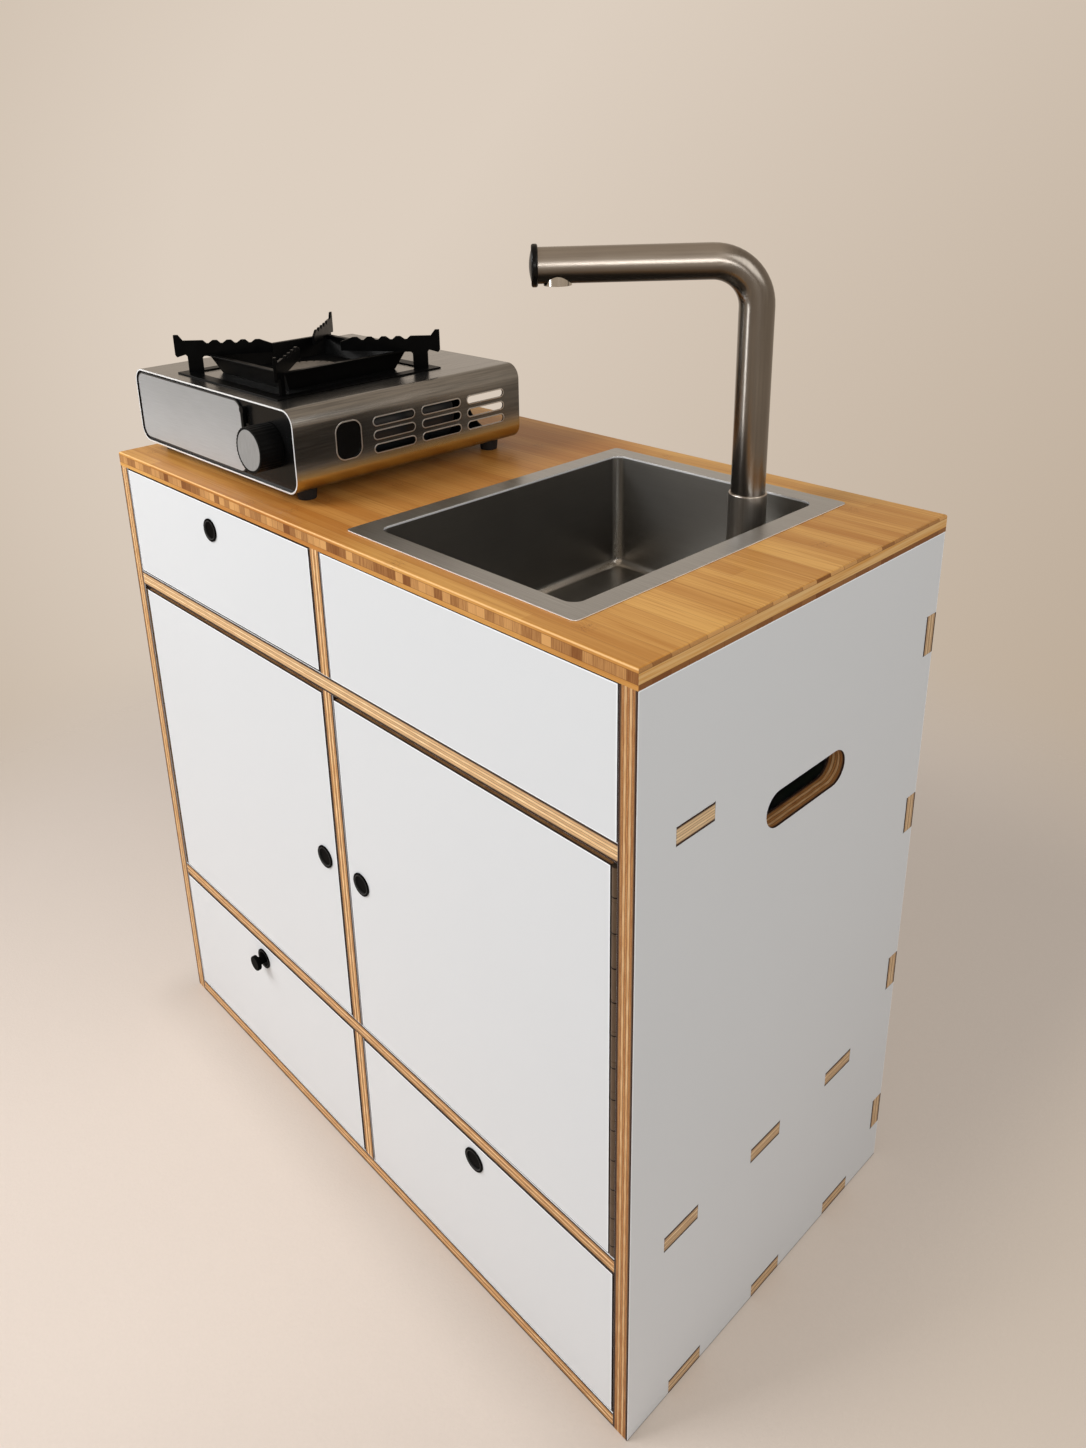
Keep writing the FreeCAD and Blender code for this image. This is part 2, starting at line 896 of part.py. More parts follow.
def runner_pair(x_low, x_high, z_middle):
    """Fixed rails on the bay's walls and moving bars on the drawer box."""
    y_low = front_inner + runner_setback
    y_high = y_low + box_depth - runner_short
    z_low = z_middle - runner_height / 2
    z_high = z_middle + runner_height / 2
    rails = []
    bars = []
    for wall, way in ((x_low, 1), (x_high, -1)):
        def across(distance):
            return wall + way * distance

        def strip(near, far, low, high):
            ends = sorted((across(near), across(far)))
            return box(ends[0], ends[1], y_low, y_high, low, high)

        lip_end = runner_sheet + runner_lip
        rails.append(
            joined(
                [
                    strip(0, runner_sheet, z_low, z_high),
                    strip(0, lip_end, z_low, z_low + runner_sheet),
                    strip(0, lip_end, z_high - runner_sheet, z_high),
                ]
            )
        )
        bars.append(
            strip(
                runner_sheet + runner_gap, runner_space,
                z_low + runner_sheet + runner_gap, z_high - runner_sheet - runner_gap,
            )
        )
    return rails, bars


def drawer(name, x_low, x_high, z_low, z_high, box_height, lock_drop, popped):
    """One drawer with its runners and its lock; returns the strike's pockets."""
    lock_x = (x_low + x_high) / 2
    lock_z = z_high - lock_drop
    front = box(
        x_low + drawer_gap, x_high - drawer_gap, front_face, front_inner,
        z_low + drawer_gap, z_high - drawer_gap,
    )
    keep(name + "_front", front.cut(lock_hole(lock_x, lock_z)))
    box_left = x_low + runner_space
    box_right = x_high - runner_space
    box_low = z_low + box_lift
    box_high = box_low + box_height
    box_back = front_inner + box_depth
    keep(
        name + "_box",
        joined(
            [
                box(box_left, box_left + box_side, front_inner, box_back, box_low, box_high),
                box(box_right - box_side, box_right, front_inner, box_back, box_low, box_high),
                box(box_left, box_right, box_back - box_side, box_back, box_low, box_high),
                box(box_left, box_right, front_inner, box_back, box_low, box_low + box_bottom),
            ]
        ),
    )
    rails, bars = runner_pair(x_low, x_high, (box_low + box_high) / 2)
    keep("drawer_rails", *rails)
    keep(name + "_slides", *bars)
    return place_lock(name, lock_drop, lock_x, lock_z, 0, popped)


worktop_pockets = drawer(
    "top_drawer", left_inner, divider_left, upper_shelf_top, worktop_under,
    top_box_height, top_lock_drop, False,
)
shelf_pockets = drawer(
    "lower_left_drawer", left_inner, divider_left, board, lower_shelf_under,
    bottom_box_height, bottom_lock_drop, True,
)
shelf_pockets += drawer(
    "lower_right_drawer", divider_right, right_inner, board, lower_shelf_under,
    bottom_box_height, bottom_lock_drop, False,
)

# Doors on piano hinges


def hinge_leaves(wall, way, z_low, z_high):
    """Leaf on the side panel with the pin, and leaf on the door; way points to the door."""
    axis_x = wall + way * hinge_gap / 2
    axis_y = front_face + hinge_axis_inset
    knuckle_radius = hinge_gap / 2 - hinge_wall_gap
    plate_front = axis_y + knuckle_radius + leaf_knuckle_gap
    plate_back = axis_y + leaf_width
    pitch = (z_high - z_low) / knuckle_count

    def on_pin(z):
        return FreeCAD.Vector(axis_x, axis_y, z)

    def plate(near, y_low, low, high):
        ends = sorted((wall + way * near, wall + way * (near + leaf_thickness)))
        return box(ends[0], ends[1], y_low, plate_back, low, high)

    fixed = [plate(0, plate_front, z_low, z_high)]
    moving = [plate(hinge_gap - leaf_thickness, plate_front, z_low, z_high)]
    bores = []
    for index in range(knuckle_count):
        low = z_low + index * pitch
        high = low + pitch
        if index > 0:
            low += knuckle_end_gap / 2
        if index < knuckle_count - 1:
            high -= knuckle_end_gap / 2
        knuckle = cylinder(knuckle_radius, on_pin(low), on_pin(high))
        if index % 2 == 0:
            fixed += [knuckle, plate(0, axis_y, low, high)]
        else:
            moving += [knuckle, plate(hinge_gap - leaf_thickness, axis_y, low, high)]
            bores.append(
                cylinder(hinge_pin_radius + hinge_running_gap, on_pin(low - overrun), on_pin(high + overrun))
            )
    fixed.append(cylinder(hinge_pin_radius, on_pin(z_low), on_pin(z_high)))
    return joined(fixed), without(joined(moving), bores)


def door(side, wall, way, free_wall, turn):
    """One door with its hinge and lock; returns the strike's pockets."""
    z_low = lower_shelf_top + drawer_gap
    z_high = upper_shelf_under - door_top_gap
    ends = sorted((wall + way * hinge_gap, free_wall - way * drawer_gap))
    lock_x = free_wall - way * door_lock_inset
    slab = box(ends[0], ends[1], front_face, front_inner, z_low, z_high)
    keep("door_" + side, slab.cut(lock_hole(lock_x, door_lock_from_floor)))
    fixed, moving = hinge_leaves(wall, way, z_low, z_high)
    keep("hinge_side_leaf_" + side, fixed)
    keep("hinge_door_leaf_" + side, moving)
    return place_lock("door_" + side, door_lock_inset, lock_x, door_lock_from_floor, turn)


divider_pockets = door("left", left_inner, 1, divider_left, 90)
divider_pockets += door("right", right_inner, -1, divider_right, -90)

keep("divider_panel", without(divider, divider_pockets))
keep("lower_shelf", without(lower_shelf, shelf_pockets))

# Fixed panel in front of the sink bowl

keep(
    "fixed_panel",
    box(
        divider_right + fixed_gap, right_inner - fixed_gap, front_face, front_inner,
        upper_shelf_top, worktop_under - fixed_gap,
    ),
)

# Worktop with round upper edges and the cut-out for the bowl

worktop = box(left_face, right_face, front_face, back_face, worktop_under, cabinet_height)
worktop = worktop.makeFillet(worktop_arris, edges_at_height(worktop, cabinet_height))
cutout_grow = sink_sheet + sink_cutout_gap
worktop_cutout = rounded_block(
    bowl_left - cutout_grow, bowl_right + cutout_grow, bowl_front - cutout_grow, bowl_back + cutout_grow,
    worktop_under - overrun, cabinet_height + overrun, sink_corner + cutout_grow,
)
keep("worktop", without(worktop, [worktop_cutout] + worktop_pockets))

# Stove shell: one sheet wrapped round the sides, open at the front and the back

stove_left = left_face + stove_from_left
stove_right = stove_left + stove_width
stove_front = front_face + stove_from_front
stove_back = stove_front + stove_depth
shell_low = cabinet_height + foot_height
shell_high = shell_low + stove_shell_height
burner_x = stove_left + burner_from_left
burner_y = stove_front + burner_from_front
inner_left = stove_left + stove_sheet
inner_right = stove_right - stove_sheet
inner_low = shell_low + stove_sheet
inner_high = shell_high - stove_sheet
inner_corner = stove_corner - stove_sheet


def at_burner(z):
    return FreeCAD.Vector(burner_x, burner_y, z)


shell = rounded_bar(
    stove_left, stove_right, shell_low, shell_high, stove_front, stove_back, stove_corner
)
shell_cuts = [
    rounded_bar(
        inner_left, inner_right, inner_low, inner_high,
        stove_front - overrun, stove_back + overrun, inner_corner,
    ),
    cylinder(burner_opening_radius, at_burner(inner_high - overrun), at_burner(shell_high + overrun)),
]
for column in range(vent_columns):
    for row in range(vent_rows):
        shell_cuts.append(
            round_slot(
                inner_right - overrun, stove_right + overrun,
                stove_front + vent_first + column * vent_pitch,
                shell_low + vent_from_bottom + (row - (vent_rows - 1) / 2) * vent_rise + vent_height / 2,
                vent_length, vent_height,
            )
        )
window_y = stove_front + window_from_front
window_z = shell_low + window_from_bottom
window_wire = rounded_wire(
    window_y - window_width / 2, window_y + window_width / 2,
    window_z - window_height / 2, window_z + window_height / 2, window_corner,
    lambda u, v: FreeCAD.Vector(inner_right - overrun, u, v),
)
shell_cuts.append(Part.Face(window_wire).extrude(FreeCAD.Vector(overrun + stove_sheet + overrun, 0, 0)))
keep("stove_shell", without(shell, shell_cuts))

# Stove chassis: front wall, floor and back wall of one dark pressed tray

wall_front = stove_front + stove_recess
wall_back = wall_front + stove_front_wall
back_wall_back = stove_back - stove_back_inset
back_wall_front = back_wall_back - stove_back_wall
floor_top = inner_low + stove_sheet
knob_x = stove_left + knob_from_left
knob_z = shell_low + knob_from_bottom
lever_x = stove_left + lever_from_left
lever_z = shell_low + lever_from_bottom
cartridge_x = knob_x
cartridge_z = inner_low + (inner_high - inner_low) / 2
hatch_half = cartridge_radius + stove_hatch_margin
cartridge_front = wall_back + valve_depth
cartridge_body_front = cartridge_front + cartridge_neck + cartridge_shoulder
cartridge_back = cartridge_body_front + cartridge_length


def along_cartridge(y):
    return FreeCAD.Vector(cartridge_x, y, cartridge_z)


def cradle(distance):
    """Upright rib under the cartridge with a round seat."""
    y_low = cartridge_body_front + distance
    rib = box(
        cartridge_x - cradle_half_width, cartridge_x + cradle_half_width,
        y_low, y_low + cradle_thickness, inner_low, cartridge_z - cartridge_radius / 2,
    )
    return rib.cut(
        cylinder(
            cartridge_radius + cradle_gap, along_cartridge(y_low - overrun),
            along_cartridge(y_low + cradle_thickness + overrun),
        )
    )


chassis = joined(
    [
        rounded_bar(inner_left, inner_right, inner_low, inner_high, wall_front, wall_back, inner_corner),
        rounded_bar(
            inner_left, inner_right, inner_low, inner_high, back_wall_front, back_wall_back, inner_corner
        ),
        box(
            inner_left + inner_corner, inner_right - inner_corner, wall_front, back_wall_back,
            inner_low, floor_top,
        ),
        box(
            inner_right - window_plate, inner_right, wall_front,
            window_y + window_width / 2 + window_plate_border,
            window_z - window_height / 2 - window_plate_border / 2,
            window_z + window_height / 2 + window_plate_border / 2,
        ),
        cradle(cradle_first),
        cradle(cradle_second),
    ]
)
lever_slot_half = lever_width / 2 + lever_side_gap
keep(
    "stove_chassis",
    without(
        chassis,
        [
            cylinder(
                spindle_radius + lever_side_gap, FreeCAD.Vector(knob_x, wall_front - overrun, knob_z),
                FreeCAD.Vector(knob_x, wall_back + overrun, knob_z),
            ),
            box(
                lever_x - lever_slot_half, lever_x + lever_slot_half, wall_front - overrun,
                wall_back + overrun, lever_z - lever_neck_height / 2 - lever_travel - lever_side_gap,
                lever_z + lever_neck_height / 2 + lever_side_gap,
            ),
            cylinder(
                hatch_half, along_cartridge(back_wall_front - overrun),
                along_cartridge(back_wall_back + overrun),
            ),
        ],
    ),
)

# Light front panel on the chassis, left of the controls

keep(
    "stove_front_panel",
    rounded_bar(
        inner_left + panel_border, inner_left + panel_border + panel_width,
        inner_low + panel_border, inner_high - panel_border,
        wall_front - panel_thickness, wall_front, inner_corner - panel_border,
    ),
)

# Rubber feet

for foot_x in (stove_left + foot_inset, stove_right - foot_inset):
    for foot_y in (stove_front + foot_inset, stove_back - foot_inset):
        keep(
            "stove_feet",
            Part.makeCone(
                foot_tip_radius, foot_radius, foot_height,
                FreeCAD.Vector(foot_x, foot_y, cabinet_height), Z_AXIS,
            ),
        )

# Knob with its ribs and spindle, and the disc on its face

knob_back = wall_front - knob_gap
knob_front = knob_back - knob_length
rib_points = []
for index in range(2 * knob_rib_count):
    angle = pi * index / knob_rib_count
    radius = knob_radius - knob_rib * (index % 2)
    rib_points.append(
        FreeCAD.Vector(knob_x + radius * cos(angle), knob_front, knob_z + radius * sin(angle))
    )


def on_knob(y):
    return FreeCAD.Vector(knob_x, y, knob_z)


knob = joined(
    [
        polygon_block(rib_points, FreeCAD.Vector(0, knob_length, 0)),
        cylinder(spindle_radius, on_knob(knob_back), on_knob(wall_back + spindle_reach)),
    ]
)
knob = knob.cut(
    cylinder(knob_face_radius, on_knob(knob_front - overrun), on_knob(knob_front + knob_face_thickness))
)
keep("stove_knob", knob)
keep(
    "stove_knob_face",
    cylinder(knob_face_radius, on_knob(knob_front), on_knob(knob_front + knob_face_thickness)),
)

# Gas valve behind the knob, bored for the spindle

valve_front = wall_back
valve_back = valve_front + valve_depth
valve = box(
    knob_x - valve_width / 2, knob_x + valve_width / 2, valve_front, valve_back,
    cartridge_z - valve_height / 2, cartridge_z + valve_height / 2,
)
keep(
    "stove_valve",
    valve.cut(
        cylinder(
            spindle_radius + spindle_gap, on_knob(valve_front - overrun),
            on_knob(wall_back + spindle_reach + valve_inset),
        )
    ),
)

# Cartridge lock lever: head and bar in front, neck through the slot, hook inside

lever_bar_front = wall_front - panel_thickness - lever_side_gap - lever_thickness
lever_bar_back = lever_bar_front + lever_thickness
lever = joined(
    [
        box(
            lever_x - lever_width / 2, lever_x + lever_width / 2, lever_bar_front, lever_bar_back,
            lever_z - lever_length, lever_z,
        ),
        cylinder(
            lever_head_radius, FreeCAD.Vector(lever_x, lever_bar_front, lever_z),
            FreeCAD.Vector(lever_x, lever_bar_back, lever_z),
        ),
        box(
            lever_x - lever_width / 2, lever_x + lever_width / 2, lever_bar_front,
            wall_back + lever_reach, lever_z - lever_neck_height / 2, lever_z + lever_neck_height / 2,
        ),
    ]
)
keep("stove_lever", lever)

# Gas cartridge lying in its cradle, neck against the valve

shoulder = Part.makeCone(
    cartridge_neck_radius, cartridge_radius, cartridge_shoulder,
    along_cartridge(cartridge_front + cartridge_neck), Y_AXIS,
)
keep(
    "gas_cartridge",
    joined(
        [
            cylinder(
                cartridge_neck_radius, along_cartridge(cartridge_front),
                along_cartridge(cartridge_front + cartridge_neck),
            ),
            shoulder,
            cylinder(
                cartridge_radius, along_cartridge(cartridge_body_front), along_cartridge(cartridge_back)
            ),
        ]
    ),
)

# Burner: cup and slotted cap on a post, fed by a tube from the valve

cup_low = shell_high - burner_cup_under_top
cup_high = cup_low + burner_cup_height
cap_high = cup_high + burner_cap_height
tube_y = (valve_front + valve_back) / 2
tube_z = cartridge_z
valve_left = knob_x - valve_width / 2
tube_mouth = FreeCAD.Vector(valve_left, tube_y, tube_z)
tube_run = at_burner(tube_z) - tube_mouth
burner_tube = cylinder(burner_tube_radius, tube_mouth - tube_run * tube_trim_share, at_burner(tube_z)).cut(
    box(
        valve_left, valve_left + valve_width, tube_y - valve_width, tube_y + valve_width,
        tube_z - valve_height, tube_z + valve_height,
    )
)
burner = joined(
    [
        cylinder(burner_cup_radius, at_burner(cup_low), at_burner(cup_high)),
        cylinder(burner_cap_radius, at_burner(cup_high), at_burner(cap_high)),
        cylinder(burner_post_radius, at_burner(floor_top), at_burner(cup_low)),
        burner_tube,
    ]
)
ports = []
for index in range(burner_port_count):
    port = box(
        burner_cap_radius - burner_port_depth, burner_cap_radius + overrun,
        -burner_port_width / 2, burner_port_width / 2, cup_high, cap_high + overrun,
    )
    port.rotate(ORIGIN, Z_AXIS, 360.0 * index / burner_port_count)
    port.translate(FreeCAD.Vector(burner_x, burner_y, 0))
    ports.append(port)
keep("stove_burner", without(burner, ports))

# Pan support: square frame on the shell, four notched arms, drip tray between them

frame_top = shell_high + support_sheet
diagonal = support_half * sqrt(2)


def support_square(half, z):
    points = [(-half, -half), (half, -half), (half, half), (-half, half)]
    return [FreeCAD.Vector(burner_x + u, burner_y + v, z) for u, v in points]


def tray_body(shrink):
    """Square funnel between the tray's floor and its rim."""
    low = support_square(tray_bottom_half - shrink, shell_high + shrink)
    high = support_square(tray_top_half - shrink, shell_high + tray_height + shrink)
    wires = [Part.makePolygon(ring + [ring[0]]) for ring in (low, high)]
    return Part.makeLoft(wires, True, True)


def arm_outline():
    """Side view of one arm: distance from the middle, height over the shell."""
    tip = diagonal
    post_outer = tip - arm_post_from_tip
    post_inner = post_outer - arm_post_width
    wave_start = tip - arm_hook_run - arm_flat
    hook_top = arm_top + arm_hook_rise
    points = [
        (post_outer, 0), (post_outer, arm_underside), (post_outer + arm_lip, arm_underside + arm_lip),
        (tip - arm_lip, arm_underside - arm_lip / 2), (tip, arm_underside + arm_lip), (tip, hook_top),
        (tip - arm_hook_flat, hook_top), (tip - arm_hook_run, arm_top), (wave_start, arm_top),
    ]
    for index in range(arm_notch_count):
        start = wave_start - index * arm_notch_pitch
        points.append((start - arm_notch_pitch * notch_fall_share, arm_top - arm_notch))
        points.append((start - arm_notch_pitch * notch_floor_share, arm_top - arm_notch))
        points.append((start - arm_notch_pitch * notch_rise_share, arm_top))
        points.append((start - arm_notch_pitch, arm_top))
    inner = wave_start - arm_notch_count * arm_notch_pitch - arm_end_run
    points.append((inner, arm_top - arm_end_drop))
    points.append((inner, arm_top - arm_end_drop - arm_end_depth))
    points.append((post_inner - arm_lip, arm_underside))
    points.append((post_inner, arm_underside - arm_lip))
    points.append((post_inner, 0))
    return points


arm_turn_share = 0.5
notch_fall_share = 0.25
notch_floor_share = 0.4
notch_rise_share = 0.7

support_ring = box(
    burner_x - support_half, burner_x + support_half, burner_y - support_half, burner_y + support_half,
    shell_high, frame_top,
)
support_ring = support_ring.cut(
    box(
        burner_x - support_half + support_frame, burner_x + support_half - support_frame,
        burner_y - support_half + support_frame, burner_y + support_half - support_frame,
        shell_high - overrun, frame_top + overrun,
    )
)
tray = tray_body(0).cut(tray_body(support_sheet))
tray = tray.cut(cylinder(tray_hole_radius, at_burner(shell_high - overrun), at_burner(frame_top + overrun)))
rim_high = shell_high + tray_height
rim_plate = box(
    burner_x - tray_top_half - tray_rim, burner_x + tray_top_half + tray_rim,
    burner_y - tray_top_half - tray_rim, burner_y + tray_top_half + tray_rim,
    rim_high - support_sheet, rim_high,
)
rim_plate = rim_plate.cut(tray_body(0))
support_parts = [support_ring, tray, rim_plate]
for index in range(support_arm_count):
    points = [
        FreeCAD.Vector(along, -arm_thickness / 2, shell_high + rise) for along, rise in arm_outline()
    ]
    arm = polygon_block(points, FreeCAD.Vector(0, arm_thickness, 0))
    arm.rotate(ORIGIN, Z_AXIS, 360.0 * (index + arm_turn_share) / support_arm_count)
    arm.translate(FreeCAD.Vector(burner_x, burner_y, 0))
    support_parts.append(arm)
keep("pan_support", joined(support_parts))

# Write one file for each node

os.makedirs("parts", exist_ok=True)
for name, solids in nodes.items():
    shape = solids[0] if len(solids) == 1 else Part.makeCompound(solids)
    shape.exportStep("parts/" + name + ".step")
    print(name, len(shape.Solids), round(shape.Volume), shape.isValid())
print(len(nodes), "nodes")
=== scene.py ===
import json
import math

import bmesh
import bpy
import numpy as np
from mathutils import Matrix, Vector

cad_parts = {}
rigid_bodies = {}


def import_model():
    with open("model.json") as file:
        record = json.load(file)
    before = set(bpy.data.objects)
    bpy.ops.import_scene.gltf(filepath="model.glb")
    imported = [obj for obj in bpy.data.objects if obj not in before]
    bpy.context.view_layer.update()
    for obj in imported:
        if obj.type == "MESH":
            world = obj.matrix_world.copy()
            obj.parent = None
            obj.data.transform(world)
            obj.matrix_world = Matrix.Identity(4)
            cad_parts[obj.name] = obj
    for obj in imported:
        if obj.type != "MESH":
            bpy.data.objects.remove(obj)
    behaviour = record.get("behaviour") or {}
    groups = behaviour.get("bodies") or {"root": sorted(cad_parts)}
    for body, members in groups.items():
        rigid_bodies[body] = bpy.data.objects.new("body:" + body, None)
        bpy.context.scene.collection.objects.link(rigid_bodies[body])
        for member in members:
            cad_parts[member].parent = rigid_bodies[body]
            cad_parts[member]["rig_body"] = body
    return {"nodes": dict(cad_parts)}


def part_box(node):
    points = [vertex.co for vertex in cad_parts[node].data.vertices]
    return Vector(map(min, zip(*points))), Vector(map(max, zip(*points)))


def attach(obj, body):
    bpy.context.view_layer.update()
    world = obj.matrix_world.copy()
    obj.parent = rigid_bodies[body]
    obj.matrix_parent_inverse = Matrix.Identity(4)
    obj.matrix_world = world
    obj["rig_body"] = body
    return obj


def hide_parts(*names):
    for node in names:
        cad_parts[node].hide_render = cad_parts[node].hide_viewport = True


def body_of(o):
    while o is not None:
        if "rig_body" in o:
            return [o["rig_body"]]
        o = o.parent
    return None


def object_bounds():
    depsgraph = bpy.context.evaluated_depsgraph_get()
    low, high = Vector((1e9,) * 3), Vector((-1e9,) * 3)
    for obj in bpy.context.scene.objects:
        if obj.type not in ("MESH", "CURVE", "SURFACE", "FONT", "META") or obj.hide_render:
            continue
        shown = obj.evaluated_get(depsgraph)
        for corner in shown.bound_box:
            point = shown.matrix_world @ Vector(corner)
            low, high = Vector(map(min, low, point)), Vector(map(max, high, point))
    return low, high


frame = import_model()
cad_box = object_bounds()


# Camera: it stands in front of the unit's right corner, above the worktop, and looks down on it
# with a normal lens. The frame is shifted down, so that upright edges stay nearly upright.

camera_place = Vector((0.8469, -0.7356, 1.1458))
camera_azimuth = math.radians(47.90)
camera_elevation = math.radians(19.79)
camera_roll = math.radians(-1.73)
picture_width = 1086
picture_height = 1448
focal_length_pixels = 1095.7
axis_pixel_x = 503.0
axis_pixel_y = 529.0

camera_data = bpy.data.cameras.new("camera")
camera = bpy.data.objects.new("camera", camera_data)
bpy.context.scene.collection.objects.link(camera)
backward = Vector((
    math.sin(camera_azimuth) * math.cos(camera_elevation),
    -math.cos(camera_azimuth) * math.cos(camera_elevation),
    math.sin(camera_elevation),
))
level_right = (-backward).cross(Vector((0, 0, 1))).normalized()
level_up = level_right.cross(-backward)
camera_right = level_right * math.cos(camera_roll) + level_up * math.sin(camera_roll)
camera_up = level_up * math.cos(camera_roll) - level_right * math.sin(camera_roll)
turned = Matrix((camera_right, camera_up, backward)).transposed().to_4x4()
camera.matrix_world = Matrix.Translation(camera_place) @ turned
camera_data.lens = camera_data.sensor_width * focal_length_pixels / picture_height
camera_data.shift_x = (picture_width / 2 - axis_pixel_x) / picture_height
camera_data.shift_y = (axis_pixel_y - picture_height / 2) / picture_height
bpy.context.scene.camera = camera
bpy.context.scene.view_settings.view_transform = "Standard"


# Floor and light: the unit stands on a seamless sheet of warm beige paper, in soft daylight from
# the front left and above. Away from the unit the sheet fades into the surroundings' colour.

def paint(red, green, blue):
    """Linear colour of an 8-bit display colour: each channel over 255, with the display curve
    undone."""
    channels = [channel / 255 for channel in (red, green, blue)]
    return [c / 12.92 if c <= 0.04045 else ((c + 0.055) / 1.055) ** 2.4 for c in channels] + [1.0]


class Reading:
    """A value that varies over a surface, from a node's socket. Arithmetic adds Math nodes."""

    def __init__(self, finish, socket):
        self.finish = finish
        self.socket = socket

    def output(self, key):
        """Another output of the same node."""
        return Reading(self.finish, self.socket.node.outputs[key])

    def maths(self, operation, *values):
        return self.finish.node("ShaderNodeMath", {"operation": operation}, dict(enumerate(values)))

    def __add__(self, other):
        return self.maths("ADD", self, other)

    def __sub__(self, other):
        return self.maths("SUBTRACT", self, other)

    def __rsub__(self, other):
        return self.maths("SUBTRACT", other, self)

    def __mul__(self, other):
        return self.maths("MULTIPLY", self, other)

    def __truediv__(self, other):
        return self.maths("DIVIDE", self, other)

    def __pow__(self, other):
        return self.maths("POWER", self, other)

    def __gt__(self, other):
        return self.maths("GREATER_THAN", self, other)

    def __lt__(self, other):
        return self.maths("LESS_THAN", self, other)

    def __mod__(self, other):
        return self.maths("FLOORED_MODULO", self, other)

    def __abs__(self):
        return self.maths("ABSOLUTE", self)

    def __floor__(self):
        return self.maths("FLOOR", self)

    def at_least(self, other):
        """The larger of the two."""
        return self.maths("MAXIMUM", self, other)

    def at_most(self, other):
        """The smaller of the two."""
        return self.maths("MINIMUM", self, other)

    __radd__ = __add__
    __rmul__ = __mul__


class Finish:
    """The nodes of one surface finish, or of the surroundings. Fixed numbers sit on the shader's
    own sockets, and readings go to its colour, roughness and relief."""

    def __init__(self, name, fixed, owners=bpy.data.materials, shader="Principled BSDF"):
        self.owner = owners.new(name)
        self.owner.use_nodes = True
        self.tree = self.owner.node_tree
        self.shader = self.tree.nodes[shader]
        self.surface = self.shader.outputs[0].links[0].to_socket
        self.fed = {}
        for socket, value in fixed.items():
            self.shader.inputs[socket].default_value = value

    def node(self, kind, settings=None, inputs=None, output=0):
        """Adds one node: its settings first, then its sockets' values or links."""
        made = self.tree.nodes.new(kind)
        for key, value in (settings or {}).items():
            setattr(made, key, value)
        for key, value in (inputs or {}).items():
            if isinstance(value, Reading):
                self.tree.links.new(value.socket, made.inputs[key])
            else:
                made.inputs[key].default_value = value
        return Reading(self, made.outputs[output])

    def feed(self, socket, reading):
        """Links a reading to a socket of the shader, in place of what went there before."""
        self.fed[socket] = reading
        self.tree.links.new(reading.socket, self.shader.inputs[socket])

    def show(self, surface):
        """Shows another shader in place of the tree's own."""
        self.tree.links.new(surface.socket, self.surface)

    def seen(self):
        """1 for what the camera sees directly, in a reflection or through something clear."""
        rays = self.node("ShaderNodeLightPath")
        reflected = rays.output("Is Glossy Ray")
        return rays.output("Is Camera Ray") + reflected + rays.output("Is Transmission Ray")

    def place(self, stretch=(1, 1, 1)):
        """Object coordinates, each axis times its stretch."""
        spot = self.node("ShaderNodeTexCoord", output="Object")
        return self.node("ShaderNodeVectorMath", {"operation": "MULTIPLY"}, {0: spot, 1: stretch})

    def axes(self, vector):
        """The three numbers of a vector."""
        split = self.node("ShaderNodeSeparateXYZ", inputs={0: vector})
        return [split.output(index) for index in range(3)]

    def vector(self, *numbers):
        """The vector of three numbers."""
        return self.node("ShaderNodeCombineXYZ", inputs=dict(enumerate(numbers)))

    def pointing(self, vector, heading):
        """How far a vector points along a heading: their dot product."""
        settings = {"operation": "DOT_PRODUCT"}
        return self.node("ShaderNodeVectorMath", settings, {0: vector, 1: heading}, "Value")

    def facing(self):
        """The three parts of the surface's own direction, without their signs."""
        return [abs(part) for part in self.axes(self.node("ShaderNodeTexCoord", output="Normal"))]

    def grain(self, vector, scale, detail=3.0, roughness=0.5, distortion=0.0):
        """Smooth noise about one half."""
        inputs = {"Vector": vector, "Scale": scale, "Detail": detail, "Roughness": roughness}
        inputs["Distortion"] = distortion
        return self.node("ShaderNodeTexNoise", inputs=inputs)

    def streaks(self, stretch, detail, roughness=0.5, distortion=0.0):
        """Smooth noise that is finer along the axes with a large stretch."""
        return self.grain(self.place(stretch), 1.0, detail, roughness, distortion)

    def chance(self, *numbers):
        """One random number from 0 to 1 for each set of three whole numbers."""
        settings = {"noise_dimensions": "3D"}
        return self.node("ShaderNodeTexWhiteNoise", settings, {"Vector": self.vector(*numbers)})

    def between(self, value, low, high, rise="SMOOTHSTEP"):
        """0 up to low, 1 from high, with a smooth or linear rise between them."""
        settings = {"interpolation_type": rise}
        return self.node("ShaderNodeMapRange", settings, {"Value": value, 1: low, 2: high})

    def within(self, value, low, high):
        """1 up to low, 0 from high, with a smooth fall between them."""
        return 1 - self.between(value, low, high)

    def mix(self, share, first, second):
        """The first colour where share is 0, the second where it is 1."""
        inputs = {0: share, 6: first, 7: second}
        return self.node("ShaderNodeMix", {"data_type": "RGBA"}, inputs, 2)

    def blend(self, share, first, second):
        """The first number where share is 0, the second where it is 1."""
        inputs = {0: share, 2: first, 3: second}
        return self.node("ShaderNodeMix", {"data_type": "FLOAT"}, inputs)

    def shade(self, colour, factor):
        """A colour times a number."""
        colour = colour if isinstance(colour, Reading) else colour[:3]
        inputs = {0: colour, "Scale": factor}
        return self.node("ShaderNodeVectorMath", {"operation": "SCALE"}, inputs)

    def relief(self, height_mm):
        """Raised and sunk places, with their height in millimetres."""
        inputs = {"Distance": 0.001, "Height": height_mm}
        self.feed("Normal", self.node("ShaderNodeBump", inputs=inputs))


